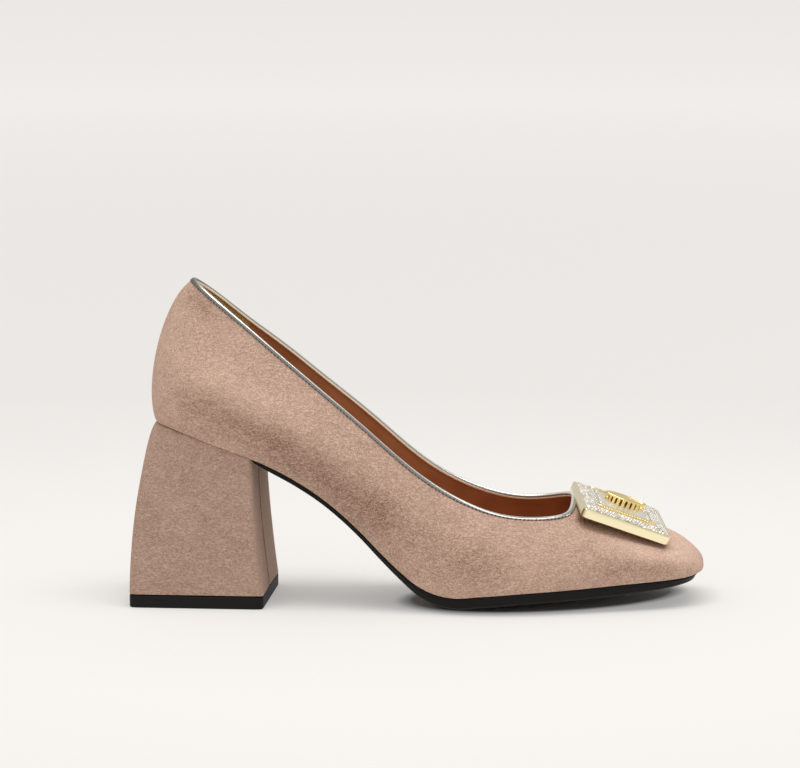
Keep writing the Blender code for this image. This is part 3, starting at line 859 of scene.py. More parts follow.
def lining_finish(name):
    """Lining leather: drum dyed calf with a light wax finish. A low gloss over fine pores, and faint
    clouds."""
    finish, tree, shader, spot = new_finish(name)
    noise = {"Vector": spot, "Scale": per_metre(16.0), "Detail": 3.0}
    clouds = add_node(tree, "ShaderNodeTexNoise", "Fac", noise)
    spread = {"Value": clouds, "From Min": 0.3, "From Max": 0.7}
    share = add_node(tree, "ShaderNodeMapRange", "Result", spread)
    tints = {0: share, 6: colour("lining_dark"), 7: colour("lining")}
    pores = add_node(tree, "ShaderNodeTexVoronoi", "Distance", {"Vector": spot, "Scale": per_metre(0.7)})
    dents = {"Height": pores, "Strength": 0.2, "Distance": 0.1 * MM}
    sockets = {
        "Base Color": add_node(tree, "ShaderNodeMix", 2, tints, data_type="RGBA"),
        "Roughness": 0.45,
        "Specular IOR Level": 0.4,
        "Normal": add_node(tree, "ShaderNodeBump", "Normal", dents),
    }
    set_inputs(tree, shader, sockets)
    return finish


def binding_finish():
    """Binding: calf strip laminated with silver foil. A soft metal shine, with a painted highlight along the
    fold and a painted dark reflection on the leg by the sewn edge, broken by fine wrinkles."""
    finish, tree, shader, spot = new_finish("metallic_foil_leather")
    # Painted highlight and painted dark reflection, stored on the strip's points
    lit_share = add_node(tree, "ShaderNodeAttribute", "Fac", {}, attribute_name=PAINTED_LIGHT)
    tints = {0: lit_share, 6: colour("binding_leg"), 7: colour("binding")}
    noise = {"Vector": spot, "Scale": per_metre(1.1), "Detail": 3.0, "Distortion": 0.6}
    wrinkles = add_node(tree, "ShaderNodeTexNoise", "Fac", noise)
    haze = {"Value": wrinkles, "From Min": 0.3, "From Max": 0.7, "To Min": 0.16, "To Max": 0.3}
    dents = {"Height": wrinkles, "Strength": 0.3, "Distance": 0.12 * MM}
    sockets = {
        "Base Color": add_node(tree, "ShaderNodeMix", 2, tints, data_type="RGBA"),
        "Metallic": 0.9,
        "Roughness": add_node(tree, "ShaderNodeMapRange", "Result", haze),
        "Normal": add_node(tree, "ShaderNodeBump", "Normal", dents),
    }
    set_inputs(tree, shader, sockets)
    return finish


def grained_finish(name, tint, pattern, strength, **sockets):
    """A plain coloured material with a fine grain of this size in millimetres."""
    finish, tree, shader, spot = new_finish(name)
    noise = {"Vector": spot, "Scale": per_metre(pattern), "Detail": 2.0}
    grain = add_node(tree, "ShaderNodeTexNoise", "Fac", noise)
    dents = {"Height": grain, "Strength": strength, "Distance": 0.1 * MM}
    bump = add_node(tree, "ShaderNodeBump", "Normal", dents)
    set_inputs(tree, shader, {"Base Color": colour(tint), "Normal": bump})
    set_inputs(tree, shader, {socket.replace("_", " "): value for socket, value in sockets.items()})
    return finish


def facing_finish():
    """Facing: champagne foiled kid. Softer and creamier than the binding, with a faint grain."""
    return grained_finish("champagne_kid_facing", "facing", 0.8, 0.3, Roughness=0.5)


def rubber_finish():
    """Heel lift: moulded rubber. Near black, dull, with a fine moulded grit."""
    return grained_finish(
        "black_moulded_rubber", "top_piece", 0.5, 0.2, Roughness=0.6, Specular_IOR_Level=0.25
    )


def thread_finish(name, tint):
    """Sewing thread: twisted polyester. Matt, with the twist as fine slanted ribs."""
    finish, tree, shader, spot = new_finish(name)
    wave = {"Vector": spot, "Scale": per_metre(2.0), "Distortion": 1.0}
    twist = add_node(tree, "ShaderNodeTexWave", "Fac", wave)
    ribs = {"Height": twist, "Strength": 0.3, "Distance": 0.1 * MM}
    bump = add_node(tree, "ShaderNodeBump", "Normal", ribs)
    set_inputs(tree, shader, {"Base Color": colour(tint), "Roughness": 0.7, "Normal": bump})
    return finish


def sole_finish():
    """Sole leather: edge inked black, waxed and ironed. A satin shine, with faint burnishing marks along
    it."""
    finish, tree, shader, spot = new_finish("black_waxed_sole_leather")
    along = add_node(tree, "ShaderNodeMapping", "Vector", {"Vector": spot, "Scale": (0.2, 1.0, 1.0)})
    noise = {"Vector": along, "Scale": per_metre(1.2), "Detail": 3.0}
    marks = add_node(tree, "ShaderNodeTexNoise", "Fac", noise)
    haze = {"Value": marks, "From Min": 0.3, "From Max": 0.7, "To Min": 0.36, "To Max": 0.55}
    dents = {"Height": marks, "Strength": 0.15, "Distance": 0.1 * MM}
    sockets = {
        "Base Color": colour("sole"),
        "Specular IOR Level": 0.18,
        "Roughness": add_node(tree, "ShaderNodeMapRange", "Result", haze),
        "Normal": add_node(tree, "ShaderNodeBump", "Normal", dents),
    }
    set_inputs(tree, shader, sockets)
    return finish


def plated_finish(name, tint, least_rough, most_rough, recess=None):
    """Plated zinc: cast, polished and plated. A clear mirror shine with a slight uneven haze, and painted
    shade in the recesses where a recess colour is given."""
    finish, tree, shader, spot = new_finish(name)
    base = colour(tint)
    if recess:
        # Painted shade in the recesses, stored on the points
        lit_share = add_node(tree, "ShaderNodeAttribute", "Fac", {}, attribute_name=PAINTED_LIGHT)
        tints = {0: lit_share, 6: colour(recess), 7: colour(tint)}
        base = add_node(tree, "ShaderNodeMix", 2, tints, data_type="RGBA")
    noise = {"Vector": spot, "Scale": per_metre(4.0), "Detail": 3.0}
    clouds = add_node(tree, "ShaderNodeTexNoise", "Fac", noise)
    haze = {"Value": clouds, "From Min": 0.3, "From Max": 0.7, "To Min": least_rough, "To Max": most_rough}
    rough = add_node(tree, "ShaderNodeMapRange", "Result", haze)
    set_inputs(tree, shader, {"Base Color": base, "Metallic": 1.0, "Roughness": rough})
    return finish


def crystal_finish():
    """Crystal: cut glass with a foil back. Each facet is painted bright or shaded at random as a painted
    reflection of the room, with a little tint."""
    finish, tree, shader, spot = new_finish("foil_backed_crystal")
    cells = add_node(tree, "ShaderNodeTexVoronoi", "Color", {"Vector": spot, "Scale": per_metre(1.4)})
    spread = {"Value": cells, "From Min": 0.3, "From Max": 0.75}
    share = add_node(tree, "ShaderNodeMapRange", "Result", spread)
    tints = {0: share, 6: colour("crystal"), 7: colour("crystal_shade")}
    base = add_node(tree, "ShaderNodeMix", 2, tints, data_type="RGBA")
    set_inputs(tree, shader, {"Base Color": base, "Metallic": 0.35, "Roughness": 0.15})
    return finish


def table_finish():
    """Floor sheet: matt white, with painted light: a glow that lifts the shadows, strongest round the shoe
    and again far out where the overhead light no longer reaches, and masked in an oval under the tread as a
    painted contact shadow."""
    finish, tree, shader, spot = new_finish("painted_glow_floor")
    away = add_node(tree, "ShaderNodeVectorMath", "Value", {0: spot}, operation="LENGTH")
    glow = []
    for start, stop, first, last in (NEAR_GLOW, FAR_GLOW):
        fade = {"Value": away, "From Min": start, "From Max": stop, "To Min": first, "To Max": last}
        glow.append(add_node(tree, "ShaderNodeMapRange", "Result", fade))
    # Painted contact shadow: the glow is masked in an oval under the forefoot's tread
    tread = {"Vector": spot, "Location": CONTACT_SHADOW_CENTRE, "Rotation": CONTACT_SHADOW_TURN, "Scale": CONTACT_SHADOW_HALVES}
    tread = add_node(tree, "ShaderNodeMapping", "Vector", tread, vector_type="TEXTURE")
    off_tread = add_node(tree, "ShaderNodeVectorMath", "Value", {0: tread}, operation="LENGTH")
    opening = {"Value": off_tread, "From Min": CONTACT_SHADOW_FADE[0], "From Max": CONTACT_SHADOW_FADE[1]}
    open_share = add_node(tree, "ShaderNodeMapRange", "Result", opening)
    both = {0: glow[0], 1: open_share, 2: glow[1]}
    noise = {"Vector": spot, "Scale": per_metre(400.0), "Detail": 1.0}
    grain = add_node(tree, "ShaderNodeTexNoise", "Fac", noise)
    haze = {"Value": grain, "To Min": 0.88, "To Max": 0.95}
    sockets = {
        "Base Color": colour("floor"),
        "Specular IOR Level": 0.1,
        "Roughness": add_node(tree, "ShaderNodeMapRange", "Result", haze),
        "Emission Color": colour("glow"),
        "Emission Strength": add_node(tree, "ShaderNodeMath", "Value", both, operation="MULTIPLY_ADD"),
    }
    set_inputs(tree, shader, sockets)
    return finish


# Pieces of the shoe


class PUMP_OT_upper(bpy.types.Operator):
    """Suede shell with its lasted edge, creases and their painted shade, and the lining inside it"""

    bl_idname = "pump.upper"
    bl_label = "Upper and lining"

    def execute(self, context):
        grid = shell_grid()
        normals = grid_normals(grid)
        rows, columns, _ = grid.shape
        faces = shell_faces(rows, columns, closed=True)
        tucked = np.clip(1 - rib_heights() / LASTED_REACH, 0.0, 1.0)[:, None, None] ** 2
        pressed, shade = creased(grid, normals)
        outside = pressed - normals * LASTED_ROLL * tucked
        wall = wall_rows()
        suede_back = grid - normals * (wall - LINING_THICK)
        suede = suede_finish("rose_beige_suede", "suede_light", "suede_dark", 0.5)
        points = stacked(outside, suede_back)
        upper = add_piece("suede_upper", points, faces, suede, "suede", "upper", smooth=SOFT_ANGLE)
        # Painted shade and painted highlights of the creases, for the suede's finish to read
        paint(upper, PAINTED_SHADE, np.concatenate([shade.ravel(), shade.ravel()]))
        lining_front = grid - normals * (wall - LINING_THICK + LINING_GLUE)
        lining_back = grid - normals * wall
        leather = lining_finish("cognac_lining_leather")
        points = stacked(lining_front, lining_back)
        add_piece("lining", points, faces, leather, "insole_leather", smooth=SOFT_ANGLE)
        return {"FINISHED"}


class PUMP_OT_heel_grip(bpy.types.Operator):
    """Napped leather patch inside the back of the heel"""

    bl_idname = "pump.heel_grip"
    bl_label = "Heel grip"

    def execute(self, context):
        grid = shell_grid()
        normals = grid_normals(grid)
        reach = column_of("seat")
        columns = np.arange(-reach, reach + 1)
        tall = grid[-1, 0, 2] - grid[0, 0, 2]
        first = int(len(grid) * (1 - size("grip_depth") / tall))
        patch = grid[first:-1, columns]
        inward = normals[first:-1, columns]
        wall = wall_rows()[first:-1]
        face = patch - inward * (wall + GRIP_THICK)
        back = patch - inward * (wall + GRIP_GLUE)
        rows, count, _ = patch.shape
        faces = shell_faces(rows, count, closed=False)
        points = stacked(back, face)
        add_piece("heel_grip", points, faces, grip_finish(), "insole_leather", smooth=SOFT_ANGLE)
        return {"FINISHED"}


def collar_frame(grid):
    """Collar edge with its directions along, out of and up the wall."""
    edge = grid[-1]
    rise = unit(edge - grid[-1 - COLLAR_ROWS])
    run = unit(np.roll(edge, -1, axis=0) - np.roll(edge, 1, axis=0))
    return edge, run, unit(np.cross(run, rise)), rise


def evenly_along(edge, pitch, arrays):
    """Values of the arrays at even steps along the closed collar edge."""
    closed = np.concatenate([edge, edge[:1]])
    travelled = np.concatenate([[0.0], np.cumsum(np.linalg.norm(np.diff(closed, axis=0), axis=1))])
    count = int(travelled[-1] / pitch)
    steps = (np.arange(count) + 0.5) * travelled[-1] / count
    sampled = []
    for values in arrays:
        values = np.concatenate([values, values[:1]])
        sampled.append(np.stack([np.interp(steps, travelled, values[:, i]) for i in range(3)], axis=1))
    return sampled


def binding_profile():
    """Rows of the folded strip: distance out of the wall, height over its edge, and painted highlight of the
    foil.
    """
    drop = size("binding_drop")
    inside = -COLLAR_WALL - BINDING_SKIN
    back = -COLLAR_WALL - STRIP_GAP
    middle = 0.5 * (BINDING_SKIN + inside)
    half = 0.5 * (BINDING_SKIN - inside)
    rows = [(STRIP_GAP, -drop, 0.0)]
    rows += [(BINDING_SKIN * skin, -drop * depth, lit_share) for skin, depth, lit_share in BINDING_LEG]
    for turn in np.linspace(0.0, math.pi, ARCH_POINTS):
        lit_share = INSIDE_HIGHLIGHT
        if turn < FOLD_BRIGHT_TURN:
            lit_share = min(1.0, FOLD_HIGHLIGHT_RATE * turn + FOLD_HIGHLIGHT_START)
        rows.append((middle + half * math.cos(turn), BINDING_ARCH * math.sin(turn), lit_share))
    rows += [
        (inside, -TUCK_START_SHARE * BINDING_TUCK, 0.0),
        (inside + TUCK_BEVEL, -BINDING_TUCK, 0.0),
        (back, -BINDING_TUCK, 0.0),
        (back, STRIP_LIFT, 0.0),
        (STRIP_GAP, STRIP_LIFT, 0.0),
    ]
    return rows


def swept(grid, profile):
    """Points and faces of a closed profile carried round the collar edge."""
    edge, _, out, rise = collar_frame(grid)
    loop = np.array([edge + out * across + rise * along for across, along in profile])
    count, columns, _ = loop.shape
    total = count * columns
    faces = [tuple(i % total for i in face) for face in grid_faces(count + 1, columns, closed=True)]
    return loop.reshape(-1, 3), faces


def binding_loop(grid):
    """Points and faces of the strip folded over the collar edge."""
    return swept(grid, [row[:2] for row in binding_profile()])


class PUMP_OT_binding(bpy.types.Operator):
    """Metallic strip folded over the collar edge, and the facing under it inside the shoe"""

    bl_idname = "pump.binding"
    bl_label = "Topline binding"

    def execute(self, context):
        grid = shell_grid()
        foil = binding_finish()
        fold = binding_loop(grid)
        strip = add_piece(
            "binding_strip", *fold, foil, "metallic_binding", "topline_binding", smooth=FOLD_ANGLE
        )
        # Painted highlight along the fold and painted dark reflection on the leg
        paint(strip, PAINTED_LIGHT, self.lit_share(grid).ravel())
        facing = swept(grid, self.facing_profile())
        add_piece("facing", *facing, facing_finish(), "metallic_binding", smooth=FOLD_ANGLE)
        return {"FINISHED"}

    def lit_share(self, grid):
        """Painted highlight of the foil: brighter where its outside turns up, and fading round the back."""
        edge, _, out, _ = collar_frame(grid)
        across, _, shine = np.array(binding_profile()).T
        upturn = np.where(across > 0, UPTURN_HIGHLIGHT, 0.0)[:, None] * np.maximum(out[:, 2], 0.0)
        from_back = np.linalg.norm(edge - edge[0], axis=1)
        dull = (1 - BACK_DIMMING) * soft_spot(from_back, BACK_DIMMING_REACH)
        return np.clip(shine[:, None] + upturn, 0.0, 1.0) * (1 - dull)

    def facing_profile(self):
        """Rows of a round bead on the inner half of the fold: distance out of the wall, height over it."""
        low = -size("facing_depth")
        front = -COLLAR_WALL - FACING_GAP
        back = -COLLAR_WALL - BINDING_SKIN - STRIP_GAP
        tuck = -BINDING_TUCK - STRIP_GAP
        rows = [(front, tuck), (back, tuck), (back, STRIP_LIFT)]
        for turn in np.linspace(0.0, math.pi, FACING_POINTS):
            height = 0.5 * (FACING_TOP + low) + 0.5 * (FACING_TOP - low) * math.cos(turn)
            lean = FACING_LEAN * (1 + math.cos(turn))
            rows.append((back + lean - FACING_THICK * math.sin(turn), height))
        rows.append((front, low))
        return rows


def inside_collar(grid, depth, proud):
    """Points below the collar that stand proud of the lining, and their directions out and up."""
    normals = grid_normals(grid)
    lining = (grid - normals * wall_rows())[::-1]
    normals = normals[::-1]
    steps = np.linalg.norm(np.diff(lining, axis=0), axis=2)
    reached = np.concatenate([np.zeros((1, steps.shape[1])), np.cumsum(steps, axis=0)])
    spots = np.zeros(lining.shape[1:])
    outs = np.zeros(lining.shape[1:])
    for j in range(lining.shape[1]):
        for axis in range(3):
            spots[j, axis] = np.interp(depth, reached[:, j], lining[:, j, axis])
            outs[j, axis] = np.interp(depth, reached[:, j], normals[:, j, axis])
    return spots - outs * proud, outs, unit(lining[0] - lining[COLLAR_ROWS])


def stitch_row(edge, run, out, rise, across, along):
    """Points and faces of a row of short rounded stitches beside the collar edge."""
    half = STITCH_HALF_SHARE * size("stitch_pitch")
    thick = 0.5 * size("stitch_width")
    edge, run, out, rise = evenly_along(edge, size("stitch_pitch"), (edge, run, out, rise))
    stitches = []
    for i in range(len(edge)):
        centre = edge[i] + out[i] * across + rise[i] * along
        rings = []
        for s in np.linspace(-1.0, 1.0, STITCH_RINGS + 1):
            swell = thick * math.sqrt(max(1 - STITCH_TAPER * s * s, STITCH_TIP))
            ring = []
            for turn in full_turn(STITCH_SIDES):
                side = out[i] * math.cos(turn) + rise[i] * math.sin(turn)
                ring.append(centre + run[i] * s * half + side * swell)
            rings.append(ring)
        stitches.append(lofted(rings))
    return joined(stitches)


class PUMP_OT_stitches(bpy.types.Operator):
    """Rows of stitches below the binding, outside and inside"""

    bl_idname = "pump.stitches"
    bl_label = "Topline stitches"

    def execute(self, context):
        grid = shell_grid()
        collar = collar_frame(grid)
        outside = stitch_row(*collar, STITCH_PROUD, STITCH_LIFT - size("binding_drop"))
        thread = thread_finish("grey_polyester_thread", "thread")
        add_piece("outer_stitches", *outside, thread, "suede", smooth=SOFT_ANGLE)
        depth = size("facing_depth") + LINING_STITCH_DROP
        spots, out, rise = inside_collar(grid, depth, LINING_STITCH_PROUD)
        inside = stitch_row(spots, collar[1], out, rise, 0.0, 0.0)
        thread = thread_finish("tan_polyester_thread", "lining_thread")
        add_piece("lining_stitches", *inside, thread, "insole_leather", smooth=SOFT_ANGLE)
        return {"FINISHED"}


class PUMP_OT_bottom(bpy.types.Operator):
    """Footbed inside the shoe and the waxed sole under it"""

    bl_idname = "pump.bottom"
    bl_label = "Footbed and sole"

    def execute(self, context):
        feather = section_rings()[0]
        toe = column_of("toe")
        breast = column_of("breast")
        outer, inner = edge_pairs(feather, INSOLE_TOP_INSET, 0, toe)
        top = bed(outer, inner, INSOLE_THICK)
        outline = np.concatenate([outer, inner[-2:0:-1]])
        top[..., 2] -= fillet(edge_distance(top, outline), INSOLE_FILLET)
        underside = bed(*edge_pairs(feather, INSOLE_INSET, 0, toe), 0.0)
        points, faces = merged(*slab(top, underside, INSOLE_EDGE_ROWS, 0.0))
        leather = lining_finish("cognac_footbed_leather")
        add_piece("footbed", points, faces, leather, "insole_leather", "insole", smooth=SOFT_ANGLE)

        grids = []
        for inset in (SOLE_INSET, SOLE_INSET + SOLE_TUCK):
            outer, inner = edge_pairs(feather, inset, breast, toe)
            outer[0, 0] += GAP
            inner[0, 0] += GAP + breast_skew(outer[0], inner[0])
            grids.append(bed(outer, inner, -GAP))
        top, bottom = grids
        outline = np.concatenate([outer, inner[::-1]])
        started = np.clip((bottom[..., 0] - bottom[0, 0, 0]) / SOLE_START_RUN, 0.0, 1.0)
        thin = 1 - SOLE_START_THIN * (1 - started) ** 2
        bottom[..., 2] -= bottom_at(bottom[..., 0], "sole_thick") * thin
        bottom[..., 2] += fillet(edge_distance(bottom, outline), SOLE_FILLET) * thin
        bottom[..., 2] = np.maximum(bottom[..., 2], 0.0)
        points, faces = merged(*slab(top, bottom, SOLE_EDGE_ROWS, SOLE_EDGE_BULGE))
        add_piece("sole", points, faces, sole_finish(), "black_sole", "outsole", smooth=SOFT_ANGLE)
        return {"FINISHED"}


def rounded_loop(loop, passes):
    """A closed loop of points with its corners rounded."""
    for _ in range(passes):
        loop = 0.25 * (np.roll(loop, 1, axis=0) + 2 * loop + np.roll(loop, -1, axis=0))
    return loop


def breast_shares():
    """Places across the breast from the inner side to the outer side, crowded at the seam in the middle."""
    s = np.linspace(-1.0, 1.0, BREAST_POINTS + 2)[1:-1]
    reach = np.where(s < 0, SEAM_SHARE, 1 - SEAM_SHARE)
    return SEAM_SHARE + reach * np.sign(s) * np.abs(s) ** BREAST_CROWDING


def breast_skew(outer, inner):
    """How much further on the heel breast lies at the inner point than at the outer one."""
    return (inner[1] - outer[1]) * math.tan(math.radians(BREAST_TURN))


def turned(points):
    """Points of the heel's foot turned about the middle of its outer side."""
    cos = math.cos(math.radians(HEEL_TURN))
    sin = math.sin(math.radians(HEEL_TURN))
    pivot = np.array([0.5 * TOP_PIECE_LENGTH, -0.5 * TOP_PIECE_WIDTH])
    x, y = (points - pivot).T
    return np.stack([x * cos + y * sin, y * cos - x * sin], axis=1) + pivot


def heel_loops():
    """Seat and floor outlines of the heel, and each point's share along its side and over the breast."""
    feather = section_rings()[0]
    corner = column_of("back_corner")
    breast = column_of("breast")
    outer, inner = edge_pairs(feather, HEEL_INSET, 0, breast)
    inner[-1, 0] += breast_skew(outer[-1], inner[-1])
    seat = np.concatenate([outer[::-1], inner[1:]])
    seat[:, 2] = bottom_at(seat[:, 0], "feather_z") - HEEL_JOIN
    steps = np.arange(breast, -1, -1)
    back = np.minimum(steps / corner, 1.0)
    side = np.clip((steps - corner) / (breast - corner), 0.0, 1.0)
    foot = np.stack([TOP_PIECE_LENGTH * side, -0.5 * TOP_PIECE_WIDTH * back], axis=1)
    foot = turned(np.concatenate([foot, foot[-2::-1] * (1, -1)]))
    side = np.concatenate([side, side[-2::-1]])
    share = breast_shares()[:, None]
    seat = np.concatenate([seat, seat[-1] * (1 - share) + seat[0] * share])
    foot = np.concatenate([foot, foot[-1] * (1 - share) + foot[0] * share])
    across = np.concatenate([np.full(len(side), -1.0), share[:, 0]])
    side = np.concatenate([side, np.ones(len(share))])
    return rounded_loop(seat, CORNER_PASSES), rounded_loop(foot, CORNER_PASSES), side, across


class PUMP_OT_heel(bpy.types.Operator):
    """Suede covered block with the cover's seam down the breast, and the rubber top piece under it"""

    bl_idname = "pump.heel"
    bl_label = "Heel and top piece"

    def execute(self, context):
        seat, foot, side, across = heel_loops()
        on_breast = across >= 0
        off_seam = across - SEAM_SHARE
        hollow = BREAST_HOLLOW * np.sin(np.pi * np.clip(across, 0.0, 1.0)) ** 2
        seam = SEAM_DEPTH * soft_spot(off_seam, SEAM_REACH)
        folds = FOLD_HEIGHT * np.sin(2 * np.pi * FOLD_COUNT * off_seam) * soft_spot(off_seam, FOLD_REACH)
        low = TOP_PIECE_THICK + GAP
        rings = []
        for level in 1 - np.linspace(1.0, 0.0, HEEL_ROWS) ** HEEL_ROW_CROWDING:
            at_back = 1 - (1 - level**BACK_SWEEP_POWER) ** (1 / BACK_SWEEP_POWER)
            at_side = 1 - (1 - level**SIDE_SWEEP_POWER) ** (1 / SIDE_SWEEP_POWER)
            at_breast = 1 - (1 - level) ** BREAST_SWEEP_POWER
            blend = at_back + (at_breast - at_back) * side
            x = foot[:, 0] + (seat[:, 0] - foot[:, 0]) * blend
            y = foot[:, 1] + (seat[:, 1] - foot[:, 1]) * at_side
            z = low + (seat[:, 2] - low) * level
            near_top = soft_spot(1 - level, FOLD_DROP)
            x = x - np.where(on_breast, hollow + seam - folds * near_top, 0.0)
            rings.append(np.stack([x, y, z], axis=1)[::-1])
        suede = suede_finish("rose_beige_heel_suede", "heel_light", "heel_dark", -0.4)
        cover = add_piece("heel_cover", *lofted(rings), suede, "heel_suede", "heel", smooth=SOFT_ANGLE)
        # Painted shade down the seam's groove, and the breast a little lighter with its outer panel a touch
        # darker
        panel = BREAST_SHADE + OUTER_PANEL_SHADE * (off_seam > 0)
        panel = panel + SEAM_SHADE * soft_spot(off_seam, SEAM_SHADE_REACH)
        shade = np.where(on_breast, panel, 0.0)[::-1]
        paint(cover, PAINTED_SHADE, np.concatenate([np.tile(shade, HEEL_ROWS), [0.0, 0.0]]))

        foot = np.concatenate([foot, np.zeros((len(foot), 1))], axis=1)
        out = -plan_normals(foot)
        edge = TOP_PIECE_EDGE
        levels = ((edge, 0.0), (0.0, edge), (0.0, TOP_PIECE_THICK - edge), (edge, TOP_PIECE_THICK))
        rings = [(foot - out * inset + (0.0, 0.0, height))[::-1] for inset, height in levels]
        lift = lofted(rings)
        rubber = rubber_finish()
        add_piece("rubber_top_piece", *lift, rubber, "black_rubber", "top_piece", smooth=RUBBER_ANGLE)
        return {"FINISHED"}


# Ornament


def plate_place():
    """Matrix of the ornament: +X to the toe, +Z out of its face, origin in the middle of its face."""
    turn = Matrix.Rotation(math.radians(PLATE_TURN), 4, "Z")
    pitch = Matrix.Rotation(math.radians(PLATE_PITCH), 4, "Y")
    roll = Matrix.Rotation(math.radians(PLATE_ROLL), 4, "X")
    return Matrix.Translation(Vector(to_frame(PLATE_CENTRE))) @ turn @ pitch @ roll


def square_ring(inset, height, radius):
    """Ring of a square with round corners at a height, drawn in from the plate's outline."""
    reach = (0.5 * PLATE_SIDE - inset - radius) * math.sqrt(2)
    ring = []
    for quarter in range(4):
        start = 0.5 * math.pi * quarter
        middle = start + 0.25 * math.pi
        for turn in np.linspace(start, start + 0.5 * math.pi, CORNER_POINTS):
            x = reach * math.cos(middle) + radius * math.cos(turn)
            y = reach * math.sin(middle) + radius * math.sin(turn)
            ring.append((x, y, height))
    return np.array(ring)


def vamp_tree():
    """Tree of the suede and its binding for finding what lies under the plate."""
    grid = shell_grid()
    rows, columns, _ = grid.shape
    shell = (grid.reshape(-1, 3), grid_faces(rows, columns, closed=True))
    points, faces = joined([shell, binding_loop(grid)])
    return BVHTree.FromPolygons([Vector(point) for point in to_frame(points)], faces)


def raised_over_vamp(ring, tree, place):
    """A ring of the plate's underside lifted clear of the vamp and of the bound collar behind it."""
    ring = ring.copy()
    down = place.to_3x3() @ Vector((0.0, 0.0, -1.0))
    for point in ring:
        above = place @ Vector((point[0] * MM, point[1] * MM, 0.0))
        hit, _, _, depth = tree.ray_cast(above, down)
        if hit is not None:
            point[2] = max(point[2], GAP - depth / MM)
    return ring


def bar(span, width, rise, line):
    """Points and faces of a half-round bar along X on the step, with rounded ends."""
    rings = []
    for u in np.linspace(-0.5, 0.5, BAR_RINGS) * span:
        close = min(1.0, (0.5 * span - abs(u)) / width)
        swell = math.sqrt(max(1 - (1 - close) ** 2, BAR_TIP))
        ring = []
        for turn in full_turn(BAR_SIDES):
            y = line + 0.5 * width * swell * math.cos(turn)
            z = STEP_RISE + rise * swell * max(math.sin(turn), BAR_FOOT)
            ring.append((u, y, z))
        rings.append(ring)
    return lofted(rings)


def bead(centre, radius):
    """Points and faces of a small ball."""
    turn = full_turn(BEAD_SIDES)
    rings = []
    for tilt in np.linspace(-BEAD_TILT, BEAD_TILT, BEAD_RINGS):
        level = np.full(BEAD_SIDES, math.sin(tilt))
        ring = np.stack([np.cos(turn) * math.cos(tilt), np.sin(turn) * math.cos(tilt), level], axis=1)
        rings.append(ring * radius + centre)
    return lofted(rings)


